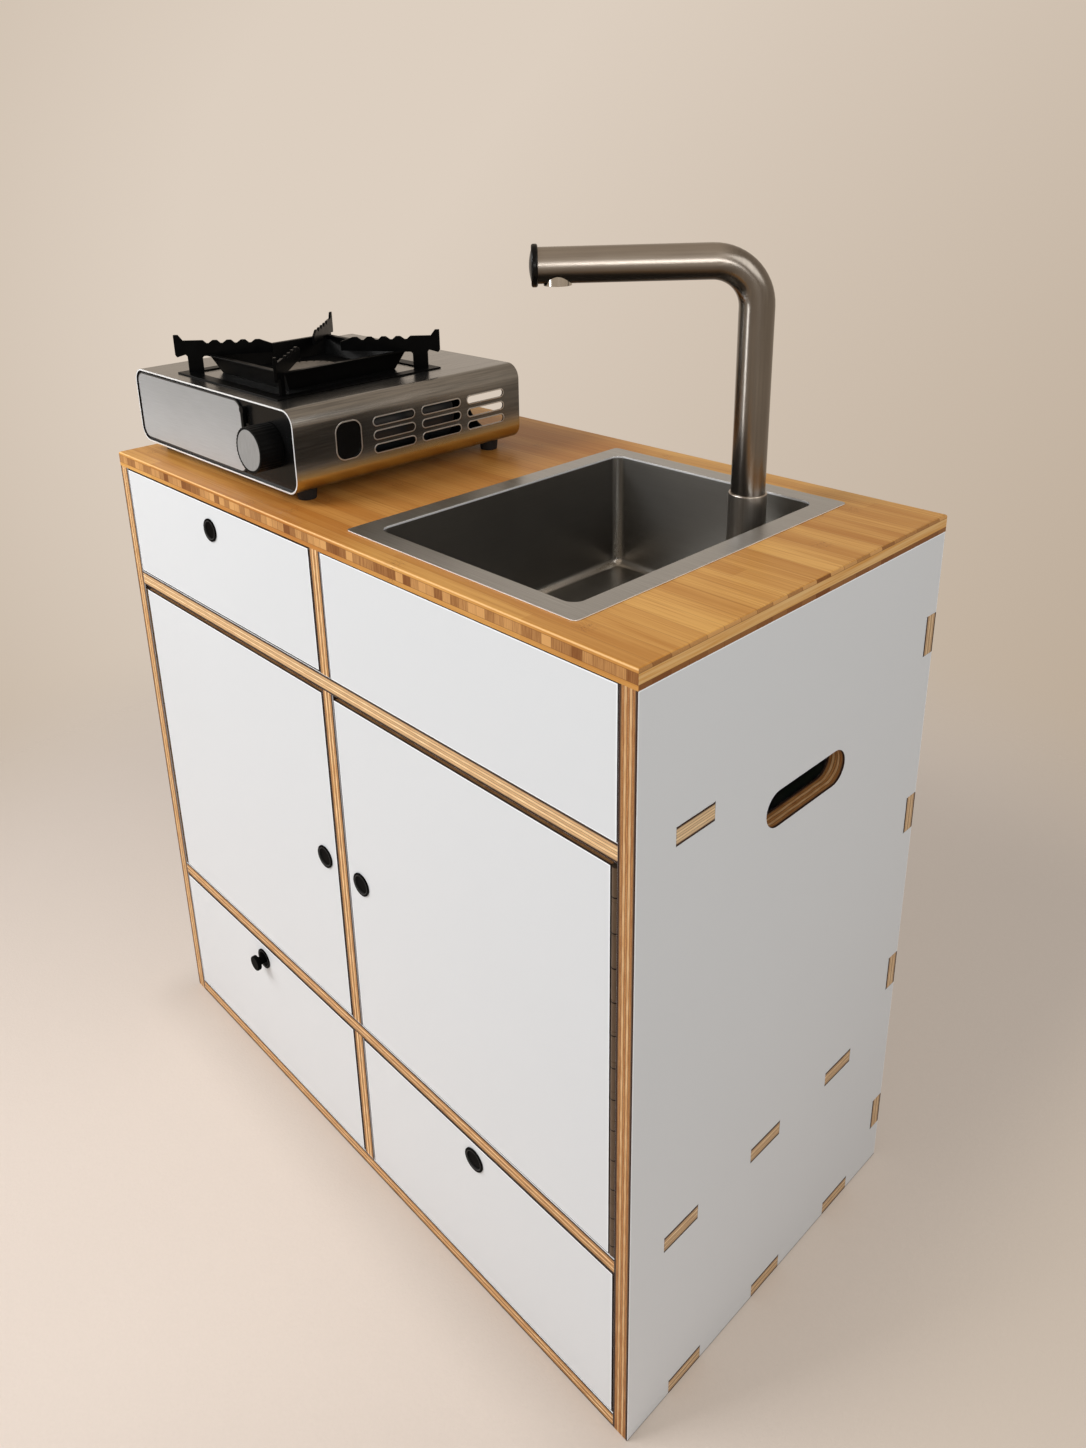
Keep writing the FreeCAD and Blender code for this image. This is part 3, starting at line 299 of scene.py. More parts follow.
ground_radius = 7.0
ground_drop = 0.0002
ground_fade = (0.88, 1.6)
ground_colour = paint(229, 214, 203)
paper_least_tone = 0.92
paper_tone_range = 0.07
paper_grain_mm = 0.3
left_reach = (-1.0, -0.25)
left_light_loss = 0.14
right_reach = (-0.05, 0.42)
right_light_loss = 0.11
contact_shadow_front = (0.0, 0.075)
contact_shadow_side = (-0.01, 0.06)
contact_shadow_loss = 0.15
glow_colour = paint(211, 195, 177)
glow_least_share = 0.3
glow_right_share = 0.35
glow_right_reach = (0.44, 0.66)

# The sheet is one square: each corner is a pair of signs times the radius.
corners = np.array([(-1, -1), (1, -1), (1, 1), (-1, 1)]) * ground_radius
ground_z = cad_box[0][2] - ground_drop
ground_mesh = bpy.data.meshes.new("ground")
ground_mesh.from_pydata([(x, y, ground_z) for x, y in corners], [], [(0, 1, 2, 3)])
ground = bpy.data.objects.new("ground", ground_mesh)
bpy.context.scene.collection.objects.link(ground)

ground_paper = Finish("ground paper", {"Roughness": 0.9, "Specular IOR Level": 0.1})
ground_spot = ground_paper.place()
ground_x, ground_y = ground_paper.axes(ground_spot)[:2]
mottle = ground_paper.grain(ground_spot, scale=1.4, detail=2.0)
paper_grain = ground_paper.grain(ground_spot, scale=260.0, detail=3.0, roughness=0.7)
paper_tone = paper_least_tone + (mottle + paper_grain) * paper_tone_range

# Painted shade: the daylight's fall-off to both sides, and a contact shadow along the unit's front.
painted_fall_off = 1 - ground_paper.within(ground_x, *left_reach) * left_light_loss
painted_fall_off = painted_fall_off * (1 - ground_paper.between(ground_x, *right_reach) * right_light_loss)
front_gap = abs(ground_y - cad_box[0][1])
side_gap = abs(ground_x) - (cad_box[1][0] - cad_box[0][0]) / 2
contact_shadow = ground_paper.within(front_gap, *contact_shadow_front)
contact_shadow = contact_shadow * ground_paper.within(side_gap, *contact_shadow_side)
ground_tone = paper_tone * painted_fall_off * (1 - contact_shadow * contact_shadow_loss)
ground_paper.feed("Base Color", ground_paper.shade(ground_colour, ground_tone))
ground_paper.relief(paper_grain * paper_grain_mm)

# Part of the paper's own colour glows where it is seen, so that its shadows stay soft, and more so
# on the far right. It turns clear towards its edge.
lit = Reading(ground_paper, ground_paper.shader.outputs[0])
glow = ground_paper.node("ShaderNodeEmission", inputs={"Color": glow_colour})
on_right = ground_paper.between(ground_x, *glow_right_reach)
glow_share = on_right * glow_right_share + glow_least_share
soft_inputs = {0: ground_paper.seen() * glow_share, 1: lit, 2: glow}
soft_shadows = ground_paper.node("ShaderNodeMixShader", inputs=soft_inputs)
length = {"operation": "LENGTH"}
away = ground_paper.node("ShaderNodeVectorMath", length, {0: ground_spot}, "Value")
fade = ground_paper.between(away, *ground_fade)
clear = ground_paper.node("ShaderNodeBsdfTransparent")
fade_inputs = {0: fade, 1: soft_shadows, 2: clear}
ground_paper.show(ground_paper.node("ShaderNodeMixShader", inputs=fade_inputs))
ground_mesh.materials.append(ground_paper.owner)

# The surroundings light the unit evenly. Where they are seen, they are a beige that darkens to the
# right and towards the picture's edges.
surroundings_near = paint(221, 207, 192)
surroundings_far = paint(186, 169, 150)
daylight_colour = (0.965, 0.985, 1.0, 1.0)
daylight_strength = 0.34
darker_heading = level_right - Vector((0, 0, 0.8))
brightest_heading = (camera_up * 0.209 + camera_right * 0.034 - backward).normalized()
dark_side_rise = (0.0, 0.9)
picture_edge_rise = (0.95, 0.74)

surroundings = Finish(
    "surroundings", {"Color": daylight_colour, "Strength": daylight_strength},
    bpy.data.worlds, "Background",
)
direction = surroundings.node("ShaderNodeTexCoord", output="Generated")
to_dark_side = surroundings.pointing(direction, darker_heading)
to_middle = surroundings.pointing(direction, brightest_heading)
darker = surroundings.between(to_dark_side, *dark_side_rise, rise="LINEAR")
near_edge = surroundings.between(to_middle, *picture_edge_rise, rise="LINEAR")
darker = darker.at_least(near_edge)
backdrop_colour = surroundings.mix(darker, surroundings_near, surroundings_far)
backdrop = surroundings.node("ShaderNodeBackground", inputs={"Color": backdrop_colour})
daylight = Reading(surroundings, surroundings.shader.outputs[0])
sky_inputs = {0: surroundings.seen(), 1: daylight, 2: backdrop}
surroundings.show(surroundings.node("ShaderNodeMixShader", inputs=sky_inputs))
bpy.context.scene.world = surroundings.owner


def lamp(name, place, target, width, height, watts, colour=(0.98, 0.99, 1.0)):
    """A soft light panel of that size at place, turned to shine at target."""
    data = bpy.data.lights.new(name, "AREA")
    data.shape = "RECTANGLE"
    data.size = width
    data.size_y = height
    data.energy = watts
    data.color = colour
    made = bpy.data.objects.new(name, data)
    bpy.context.scene.collection.objects.link(made)
    aim = (Vector(place) - Vector(target)).to_track_quat("Z", "Y")
    made.matrix_world = Matrix.Translation(place) @ aim.to_matrix().to_4x4()


lamp("window_light", (-1.05, -2.0, 2.45), (0, 0, 0.6), width=1.3, height=1.3, watts=58)
lamp("low_window", (-0.56, -2.19, 0.62), (0.257, 0.119, 0.8), width=0.32, height=0.7, watts=5.2)
lamp("left_fill", (-1.35, -0.95, 1.3), (-0.25, -0.2, 0.6), width=0.6, height=0.6, watts=5.2)
lamp("right_strip", (1.95, -1.25, 1.42), (0.19, 0.04, 1.03), width=0.9, height=0.34, watts=9.0,
     colour=(1.0, 0.98, 0.95))
lamp("back_light", (2.6, 0.4, 2.4), (0, 0, 0.7), width=1.6, height=1.6, watts=19,
     colour=(1.0, 0.98, 0.94))


# Boards: 18 mm birch plywood with a white laminate on both faces, cut to interlocking tabs and
# fingers. The cut edges are sanded and oiled and show the plies.

board_arris = 0.0005
merge_distance = 0.000002
flat_limit = math.radians(0.3)
edge_limit = math.radians(32)
face_turn = (0.80, 0.95)
ply_count = 7
ply_least_tone = 0.80
ply_pick_range = 0.18
ply_patch_range = 0.16
end_grain_share = 0.4
glue_rise = (0.36, 0.47)
glue_share = 0.68
outer_glue_mm = (1.9, 2.6)
front_ply_shade = 0.62
laminate_edge_mm = (0.12, 0.30)
laminate_highlight_reach = (0.0007, 0.0015)
laminate_highlight_share = 0.8
contact_shade_height = (0.0012, 0.0022)
contact_shade_share = 0.8
gap_shade_begins = (0.0006, 0.0014)
gap_shade_ends = (-0.001, 0.002)
peel_mm = 0.008
ply_fibre_mm = 0.03
laminate_white = paint(217, 218, 219)
laminate_highlight = paint(250, 251, 252)
laminate_contact_shade = paint(84, 76, 66)
ply_light = paint(250, 214, 162)
ply_middle = paint(212, 158, 98)
ply_dark = paint(140, 84, 40)
ply_end = paint(216, 194, 162)
ply_oiled = paint(150, 90, 36)
ply_fresh = paint(255, 224, 176)
glue_line = paint(48, 22, 8)
gap_shade = paint(52, 32, 18)
fronts_low, fronts_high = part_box("fixed_panel")


def softened(node, arris, finish, segments=2):
    """Merged copy of a CAD piece that stands for it: corners that coincide are joined, flat faces
    are made whole, and each outward edge sharper than the edge limit is rounded to the arris."""
    shape = bmesh.new()
    shape.from_mesh(frame["nodes"][node].data)
    bmesh.ops.remove_doubles(shape, verts=shape.verts, dist=merge_distance)
    bmesh.ops.dissolve_limit(shape, angle_limit=flat_limit, verts=shape.verts, edges=shape.edges)
    if arris:
        outward = [
            edge for edge in shape.edges
            if edge.is_manifold and edge.is_convex and edge.calc_face_angle() > edge_limit
        ]
        bmesh.ops.bevel(
            shape, geom=outward, offset=arris, segments=segments, profile=0.5, affect="EDGES",
            clamp_overlap=True,
        )
    for edge in shape.edges:
        edge.smooth = not edge.is_manifold or edge.calc_face_angle() < edge_limit
    for face in shape.faces:
        face.smooth = True
    mesh = bpy.data.meshes.new(node + "_finished")
    shape.to_mesh(mesh)
    shape.free()
    mesh.materials.append(finish.owner)
    piece = bpy.data.objects.new(node + "_finished", mesh)
    bpy.context.scene.collection.objects.link(piece)
    evened = piece.modifiers.new("even shading", "WEIGHTED_NORMAL")
    evened.keep_sharp = True
    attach(piece, body_of(frame["nodes"][node])[0])
    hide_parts(node)


def board_finish(name, axis, low, high, seed, gap_shaded, front, toning):
    """White laminate on the faces across the axis, plies on the cut edges. Depth is the distance
    from the low face in board thicknesses, and a ply's number is depth times the ply count,
    rounded down. The gap-shaded sides (low, high) get painted shade where the fronts' edges stand
    beside them. A front's plies get painted shade, as they lie in its gaps. Toning is a share and
    a colour that lies over the plies."""
    finish = Finish(name, {"Specular IOR Level": 0.35})
    spot = finish.place()
    coordinates = finish.axes(spot)
    facing = finish.facing()
    thickness = high[axis] - low[axis]
    depth = (coordinates[axis] - low[axis]) / thickness
    surface_mm = (0.5 - abs(depth - 0.5)) * (thickness * 1000)
    on_face = finish.between(facing[axis], *face_turn)

    # Plies: the grain turns from one to the next, and dark glue lies between them.
    layer = depth * ply_count
    number = math.floor(layer)
    lines_stretch = [60, 60, 60]
    lines_stretch[axis] = 900
    lines = finish.streaks(lines_stretch, detail=4.0, roughness=0.6)
    fibres = finish.streaks((900, 900, 900), detail=2.0, roughness=0.7)
    patches = finish.grain(spot, scale=14.0 + seed, detail=2.0)
    long_grain = finish.mix(finish.between(lines, 0.3, 0.7), ply_light, ply_middle)
    cross_share = finish.between(fibres * 0.4 + lines * 0.6, 0.3, 0.7)
    cross_grain = finish.mix(cross_share, ply_middle, ply_dark)
    wood = finish.mix(number % 2, long_grain, cross_grain)
    if axis:
        end_grain = finish.between(facing[0], *face_turn) * end_grain_share
        wood = finish.mix(end_grain, wood, ply_end)
    pick = finish.chance(number, seed, axis) * ply_pick_range
    wood = finish.shade(wood, ply_least_tone + pick + patches * ply_patch_range)
    if toning:
        wood = finish.mix(toning[0], wood, toning[1])
    near_glue = finish.between(abs(layer - number - 0.5), *glue_rise)
    wood = finish.mix(near_glue * glue_share, wood, glue_line)
    wood = finish.mix(finish.within(surface_mm, *outer_glue_mm), wood, glue_line)
    # Painted shade: a front's plies are darkened, as they lie in its gaps.
    if front:
        wood = finish.shade(wood, front_ply_shade)

    # Laminate: a painted highlight along its own rim, a painted contact shadow where it stands on
    # the floor, and seen as a thin white line on the cut edges.
    blotch = finish.grain(spot, scale=3.0, detail=3.0)
    white = finish.shade(laminate_white, 0.985 + blotch * 0.03)
    rim = [coordinates[other] - low[other] for other in range(3) if other != axis]
    rim += [high[other] - coordinates[other] for other in range(3) if other != axis]
    to_rim = rim[0].at_most(rim[1]).at_most(rim[2]).at_most(rim[3])
    # Painted highlight along the laminate's rim.
    on_rim = finish.within(to_rim, *laminate_highlight_reach) * laminate_highlight_share
    white = finish.mix(on_rim, white, laminate_highlight)
    # Painted contact shadow along the laminate's foot.
    on_foot = finish.within(coordinates[2] - cad_box[0][2], *contact_shade_height) * contact_shade_share
    white = finish.mix(on_foot, white, laminate_contact_shade)
    covered = on_face.at_least(finish.within(surface_mm, *laminate_edge_mm))
    colour = finish.mix(covered, wood, white)
    # Painted shade in the gaps beside the fronts.
    for side, wanted in enumerate(gap_shaded):
        if wanted:
            this_side = depth > 0.5 if side else depth < 0.5
            begins = [fronts_low[1] + inset for inset in gap_shade_begins]
            ends = [fronts_high[1] + inset for inset in gap_shade_ends]
            behind = finish.between(coordinates[1], *begins) * finish.within(coordinates[1], *ends)
            colour = finish.mix(behind * this_side * on_face, colour, gap_shade)

    finish.feed("Base Color", colour)
    finish.feed("Roughness", 0.62 - covered * 0.28 + blotch * 0.06)
    peel = finish.grain(spot, scale=700.0, detail=2.0) * peel_mm
    rough = (fibres - near_glue) * ply_fibre_mm
    finish.relief(peel * covered + rough * (1 - covered))
    return finish


def board(node, axis, seed, gap_shaded=(False, False), front=False, toning=None):
    """One laminated board of the cabinet, whose thickness runs along that axis."""
    finish = board_finish(node, axis, *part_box(node), seed, gap_shaded, front, toning)
    softened(node, board_arris, finish)


board("side_panel_left", axis=0, seed=1, gap_shaded=(False, True))
board("side_panel_right", axis=0, seed=2, gap_shaded=(True, False), toning=(0.36, ply_oiled))
board("divider_panel", axis=0, seed=3, gap_shaded=(True, True))
board("bottom_panel", axis=2, seed=4, gap_shaded=(False, True))
board("lower_shelf", axis=2, seed=5, gap_shaded=(True, True))
board("upper_shelf", axis=2, seed=6, gap_shaded=(True, True), toning=(0.30, ply_fresh))
board("back_panel", axis=1, seed=7)


# Worktop: three-layer bamboo board with an eased arris. The top and bottom layers are 20 mm strips
# that run the length of the top, and the core's strips run from front to back.

worktop_low, worktop_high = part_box("worktop")
strip_width = 0.0205
strip_part = 0.31
strip_shift = 3.7
core_strip_width = 0.0105
bottom_layer = 0.0045
top_layer = 0.0035
layer_soft = 0.0001
fine_share = 0.55
stove_shadow_left_edge = (-0.35, -0.04)
stove_shadow_right_edge = (0.02, 0.10)
stove_shadow_share = 0.35
left_warm_edge = (-0.1, 0.05)
left_warm_share = 0.04
cane_joint_width = (0.002, 0.012)
cane_joint_share = 0.55
seam_rise = (0.470, 0.5)
seam_share = 0.30
end_seam_share = 0.6
core_seam_rise = (0.44, 0.5)
core_seam_share = 0.5
layer_glue_width = (0.0001, 0.0004)
layer_glue_share = 0.6
low_layer_share = 0.75
arris_highlight_share = 0.55
bamboo_light = paint(223, 168, 92)
bamboo_middle = paint(206, 145, 67)
bamboo_dark = paint(172, 108, 39)
bamboo_shade_and_warm = paint(160, 78, 6)
bamboo_end = paint(208, 154, 92)
bamboo_end_dark = paint(124, 72, 28)
bamboo_core = paint(226, 184, 124)
bamboo_knot = paint(112, 62, 24)
bamboo_arris_highlight = paint(255, 208, 140)

bamboo = Finish(
    "bamboo", {"Specular IOR Level": 0.2, "Coat Weight": 0.05, "Coat Roughness": 0.25})
top_x, top_y, top_z = bamboo.axes(bamboo.place())
face_x, face_y, face_z = bamboo.facing()

# Strips: each has its own tone, and is made of parts of about 0.3 m whose tones differ a little.
strip_row = math.floor(top_y / strip_width)
in_strip = top_y / strip_width - strip_row
strip_tone = bamboo.chance(strip_row, 3.0, 1.0)
along_strip = top_x + strip_tone * strip_shift
part = math.floor(along_strip / strip_part)
part_tone = bamboo.chance(strip_row, part, 3.0)
fine = bamboo.streaks((9, 420, 420), detail=4.0, roughness=0.6)
broad = bamboo.streaks((2.2, 60, 60), detail=2.0)
top_share = bamboo.between(strip_tone * 0.38 + part_tone * 0.2 + broad * 0.7, 0.3, 1.05)
top_tone = bamboo.mix(top_share, bamboo_light, bamboo_dark)
top_tone = bamboo.mix(bamboo.between(fine, 0.42, 0.72) * fine_share, top_tone, bamboo_dark)

# Painted shadow and warmth: the stove's shadow is painted redder and darker on the top between the
# stove and the sink, and the top is a little warmer on the left.
shade_and_warmth = bamboo.between(top_x, *stove_shadow_left_edge) * bamboo.within(top_x, *stove_shadow_right_edge) * stove_shadow_share
shade_and_warmth = shade_and_warmth + bamboo.within(top_x, *left_warm_edge) * left_warm_share
top_tone = bamboo.mix(shade_and_warmth, top_tone, bamboo_shade_and_warm)

# Joints: the cane's own dark speckled joint once in each part of some strips, and seams between
# the strips.
joint_place = (part_tone * 0.8 + 0.1) * strip_part
from_joint = abs(along_strip - part * strip_part - joint_place)
speckle = bamboo.streaks((260, 900, 900), detail=3.0, roughness=0.7)
joint = bamboo.within(from_joint, *cane_joint_width) * bamboo.between(speckle, 0.50, 0.62)
joint = joint * (strip_tone > 0.35) * bamboo.between(0.5 - abs(in_strip - 0.5), 0.05, 0.2)
top_tone = bamboo.mix(joint * cane_joint_share, top_tone, bamboo_knot)
seam = bamboo.between(abs(in_strip - 0.5), *seam_rise)
top_tone = bamboo.mix(seam * seam_share, top_tone, bamboo_knot)

# Ends: the same strips cut across, with pores.
pores = bamboo.streaks((700, 700, 700), detail=2.0, roughness=0.6)
end_share = bamboo.between(strip_tone * 0.9 + pores * 0.3, 0.2, 1.1)
end_tone = bamboo.mix(end_share, bamboo_end, bamboo_end_dark)
end_tone = bamboo.mix(seam * end_seam_share, end_tone, bamboo_knot)

# Core: strip ends along the front edge, in groups of three of like tone, and long grain at the
# board's ends.
core_row = math.floor(top_x / core_strip_width)
in_core_strip = top_x / core_strip_width - core_row
core_pick = bamboo.chance(core_row, 5.0, 2.0)
core_group = bamboo.chance(math.floor(core_row / 3), 7.0, 4.0)
core_lines = bamboo.streaks((1500, 60, 60), detail=3.0, roughness=0.6)
core_share = bamboo.between(core_pick * 0.5 + core_group * 0.35 + core_lines * 0.5, 0.38, 0.98)
core_end = bamboo.mix(core_share, bamboo_end, bamboo_end_dark)
core_seam = bamboo.between(abs(in_core_strip - 0.5), *core_seam_rise)
core_end = bamboo.mix(core_seam * core_seam_share, core_end, bamboo_knot)
core_streak = bamboo.streaks((420, 9, 500), detail=4.0, roughness=0.6)
core_long = bamboo.mix(bamboo.between(core_streak, 0.3, 0.75), bamboo_core, bamboo_middle)

# Layers: the core lies between the outer ones, with a glue line above and below it. The bottom
# layer is dark at the ends, and the front's arris carries a painted highlight.
core_floor = worktop_low[2] + bottom_layer
core_top = worktop_high[2] - top_layer
on_end = bamboo.between(face_x, 0.55, 0.75)
on_edge = bamboo.within(face_z, 0.5, 0.8)
above_bottom = bamboo.between(top_z, core_floor - layer_soft, core_floor + layer_soft)
below_top = bamboo.within(top_z, core_top - layer_soft, core_top + layer_soft)
outer_tone = bamboo.mix(on_end, top_tone, end_tone)
core_tone = bamboo.mix(on_end, core_end, core_long)
wood_tone = bamboo.mix(above_bottom * below_top * on_edge, outer_tone, core_tone)
glue = bamboo.within(abs(top_z - core_floor), *layer_glue_width)
glue = glue + bamboo.within(abs(top_z - core_top), *layer_glue_width)
wood_tone = bamboo.mix(glue * on_edge * layer_glue_share, wood_tone, bamboo_knot)
wood_tone = bamboo.mix((1 - above_bottom) * on_end * low_layer_share, wood_tone, bamboo_knot)
rounding = bamboo.between(face_z, 0.30, 0.62) * bamboo.within(face_z, 0.80, 0.97)
front_arris_highlight = rounding * bamboo.between(face_y, 0.3, 0.6)
wood_tone = bamboo.mix(front_arris_highlight * arris_highlight_share, wood_tone, bamboo_arris_highlight)
bamboo.feed("Base Color", wood_tone)
bamboo.feed("Roughness", 0.34 + fine * 0.12 + on_edge * 0.15)
bamboo.relief((fine - seam) * 0.03 - joint * 0.02)
softened("worktop", 0.0, bamboo)


# Fronts: the drawer fronts, doors and fixed panel are the same laminated plywood, with a hair's
# breadth of arris. Their raw edges inside the gaps carry painted shade.

first_front_seed = 8

for seed, node in enumerate((
    "fixed_panel", "top_drawer_front", "lower_left_drawer_front", "lower_right_drawer_front",
    "door_left", "door_right",
), first_front_seed):
    board(node, axis=1, seed=seed, front=True)


# Piano hinges: rolled brass leaves with a dark bronze finish, one on each side and one on each
# door. Thin dark slits part their knuckles.

knuckle_length = 1 / 30
knuckle_slit = (0.0009, 0.0005)
slit_share = 0.92
slit_mm = 0.1
hinge_arris = 0.0002
hinge_dark = paint(88, 74, 60)
hinge_light = paint(120, 100, 82)
slit_dark = paint(20, 14, 10)

hinge_bronze = Finish("hinge bronze", {"Metallic": 0.8})
hinge_cloud = hinge_bronze.streaks((300, 300, 60), detail=3.0)
hinge_z = hinge_bronze.axes(hinge_bronze.place())[2]
from_middle = abs(hinge_z % knuckle_length - knuckle_length / 2)
slit_sides = [knuckle_length / 2 - inset for inset in knuckle_slit]
slit = hinge_bronze.between(from_middle, *slit_sides)
hinge_tone = hinge_bronze.mix(hinge_cloud, hinge_dark, hinge_light)
hinge_bronze.feed("Base Color", hinge_bronze.mix(slit * slit_share, hinge_tone, slit_dark))
hinge_bronze.feed("Roughness", 0.36 + hinge_cloud * 0.12)
hinge_bronze.relief(hinge_cloud * 0.01 - slit * slit_mm)
for leaf in ("side_leaf_left", "side_leaf_right", "door_leaf_left", "door_leaf_right"):
    softened("hinge_" + leaf, hinge_arris, hinge_bronze)


# Push locks: black moulded cases with a raised ring, a round button that latches flush, and a
# zinc-plated tongue behind each front. Strike plates sit on the frame.

lock_ring = 0.0103
lock_ring_width = 0.0007
ring_highlight_grey = paint(96, 94, 92)
ring_highlight_share = 0.45


def moulded_finish(name, fixed, dark, light, roughness, cloud, mould=None):
    """Moulded or painted surface. Cloud and mould are noises, each with a scale, a detail and a
    height in mm. The cloud also varies the tone from dark to light, and the roughness, given as the
    least value and the range above it."""
    finish = Finish(name, fixed)
    spot = finish.place()
    least, spread = roughness
    scale, detail, cloud_mm = cloud
    tone = finish.grain(spot, scale, detail)
    height = tone * cloud_mm
    if mould:
        scale, detail, mould_mm = mould
        height = height + finish.grain(spot, scale, detail) * mould_mm
    finish.feed("Base Color", finish.mix(tone, dark, light))
    finish.feed("Roughness", least + tone * spread)
    finish.relief(height)
    return finish


def metal_finish(
    name, light, dark, roughness, stretch, contrast=0.5, depth_mm=0.004, metallic=1.0,
):
    """Brushed or cast metal: fine lines along the axis with the small stretch vary its tone."""
    finish = Finish(name, {"Metallic": metallic})
    lines = finish.streaks(stretch, detail=4.0, roughness=0.65)
    cloud = finish.grain(finish.place(), scale=7.0, detail=3.0)
    tone = finish.between(lines, 0.5 - contrast / 2, 0.5 + contrast / 2) * 0.7 + cloud * 0.3
    finish.feed("Base Color", finish.mix(tone, dark, light))
    finish.feed("Roughness", roughness - 0.06 + lines * 0.08 + cloud * 0.06)
    finish.relief(lines * depth_mm)
    return finish


def lock_finish(name, low, high):
    """Black moulding with a painted grey highlight line at the ring's inner edge. The line's
    distance is the radius from the button's centre less the ring's own."""
    finish = moulded_finish(
        name, {"Specular IOR Level": 0.01}, dark=paint(5, 5, 5), light=paint(14, 14, 14),
        roughness=(0.26, 0.1), cloud=(60.0, 2.0, 0.0), mould=(900.0, 2.0, 0.006),
    )
    coordinates = finish.axes(finish.place())
    from_x = coordinates[0] - (low[0] + high[0]) / 2
    from_z = coordinates[2] - (low[2] + high[2]) / 2
    radius = (from_x * from_x + from_z * from_z) ** 0.5
    ring_highlight = finish.within(abs(radius - lock_ring), lock_ring_width / 3, lock_ring_width)
    black = finish.fed["Base Color"]
    finish.feed("Base Color", finish.mix(ring_highlight * ring_highlight_share, black, ring_highlight_grey))
    return finish


tongue_metal = metal_finish(
    "tongue zinc", light=paint(186, 186, 184), dark=paint(140, 140, 138),
    roughness=0.32, stretch=(400, 400, 60),
)
for lock in ("top_drawer", "lower_left_drawer", "lower_right_drawer", "door_left", "door_right"):
    lock_black = lock_finish(lock + " lock black", *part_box(lock + "_lock_button"))
    softened(lock + "_lock_case", 0.0005, lock_black, segments=3)
    softened(lock + "_lock_button", 0.0008, lock_black, segments=3)
    softened(lock + "_lock_tongue", 0.0003, tongue_metal)
softened("lock_strikes", 0.0002, tongue_metal)


# Drawer boxes and runners: birch plywood boxes with plated steel runner bars on their sides, which
# slide in plated rails on the cabinet.

birch_layers_per_metre = 700
birch_light = paint(226, 196, 152)
birch_dark = paint(204, 166, 118)
birch_edge_light = paint(214, 176, 126)
birch_edge_dark = paint(172, 126, 80)
birch_edge_share = 0.3

box_birch = Finish("box birch", {"Specular IOR Level": 0.35})
box_z = box_birch.axes(box_birch.place())[2]
birch_figure = box_birch.streaks((60, 5, 40), detail=4.0, roughness=0.6, distortion=0.6)
birch_fibre = box_birch.streaks((700, 60, 700), detail=3.0, roughness=0.6)
birch_face = box_birch.mix(box_birch.between(birch_figure, 0.35, 0.7), birch_light, birch_dark)
birch_face = box_birch.shade(birch_face, 0.93 + birch_fibre * 0.14)
second_layer = (box_z * birch_layers_per_metre) % 1.0 > 0.5
birch_edge = box_birch.mix(second_layer, birch_edge_light, birch_edge_dark)
upward = box_birch.between(box_birch.facing()[2], 0.7, 0.9)
box_birch.feed("Base Color", box_birch.mix(upward * birch_edge_share, birch_face, birch_edge))
box_birch.feed("Roughness", 0.5 + birch_fibre * 0.15)
box_birch.relief(birch_fibre * 0.03)
runner_steel = metal_finish(
    "runner steel", light=paint(190, 190, 188), dark=paint(150, 150, 148),
    roughness=0.3, stretch=(500, 20, 500),
)
for drawer in ("top_drawer", "lower_left_drawer", "lower_right_drawer"):
    softened(drawer + "_box", 0.0006, box_birch)
    softened(drawer + "_slides", 0.0003, runner_steel)
softened("drawer_rails", 0.0003, runner_steel)


# Sink: one stainless bowl pressed and brushed, with a thin flat rim on the worktop, a waste in its
# floor and a sunken ledge in the back corner for the tap.

rim_depth = (0.0015, 0.0005)
wall_dark = paint(138, 136, 132)
wall_light = paint(178, 176, 172)
fold_highlight_colour = paint(226, 224, 220)
fold_highlight_share = 0.6
rim_dark = paint(160, 163, 165)
rim_light = paint(200, 203, 205)
rim_edge_highlight = paint(250, 250, 250)

sink_steel = Finish("sink steel", {"Metallic": 1.0})
sink_spot = sink_steel.place()
sink_z = sink_steel.axes(sink_spot)[2]
sink_face_x, sink_face_y, sink_face_z = sink_steel.facing()
brush_x = sink_steel.streaks((16, 900, 900), detail=4.0, roughness=0.65)
brush_y = sink_steel.streaks((900, 16, 900), detail=4.0, roughness=0.65)
brush = sink_steel.blend(sink_steel.between(sink_face_x, 0.6, 0.9), brush_x, brush_y)
sink_cloud = sink_steel.grain(sink_spot, scale=9.0, detail=3.0)

# Walls and floor: painted shade makes the walls that face the sides darkest, and painted
# highlights make the folds between them pale.
shaded_wall_tone = sink_steel.mix(brush * 0.35 + sink_cloud * 0.65, wall_dark, wall_light)
shaded_wall_tone = sink_steel.shade(shaded_wall_tone, 1.08 - sink_face_x * 0.56 - sink_face_z * 0.10)
upright = sink_face_x.at_least(sink_face_y)
fold = sink_steel.within(upright.at_least(sink_face_z), 0.90, 0.995)
shaded_wall_tone = sink_steel.mix(fold * fold_highlight_share, shaded_wall_tone, fold_highlight_colour)

# Rim: paler and smoother than the bowl, whose walls carry painted shade, with a painted
# highlight on its cut edge.
rim_share = sink_steel.between(sink_z, *[worktop_high[2] - depth for depth in rim_depth])
sink_tone = sink_steel.between(brush, 0.25, 0.75) * 0.6 + sink_cloud * 0.4
rim_tone = sink_steel.mix(sink_tone, rim_dark, rim_light)
rim_edge = rim_share * sink_steel.between(upright, 0.3, 0.6)
rim_tone = sink_steel.mix(rim_edge, rim_tone, rim_edge_highlight)
sink_rough = 0.35 - rim_share * 0.10 - fold * 0.12 + brush * 0.06 + sink_cloud * 0.05
sink_steel.feed("Base Color", sink_steel.mix(rim_share, shaded_wall_tone, rim_tone))
sink_steel.feed("Metallic", 1 - rim_edge * 0.6)
sink_steel.feed("Roughness", sink_rough)
sink_steel.relief(brush * 0.0012)
softened("sink_bowl", 0.0005, sink_steel)
softened("sink_waste", 0.0003, sink_steel)


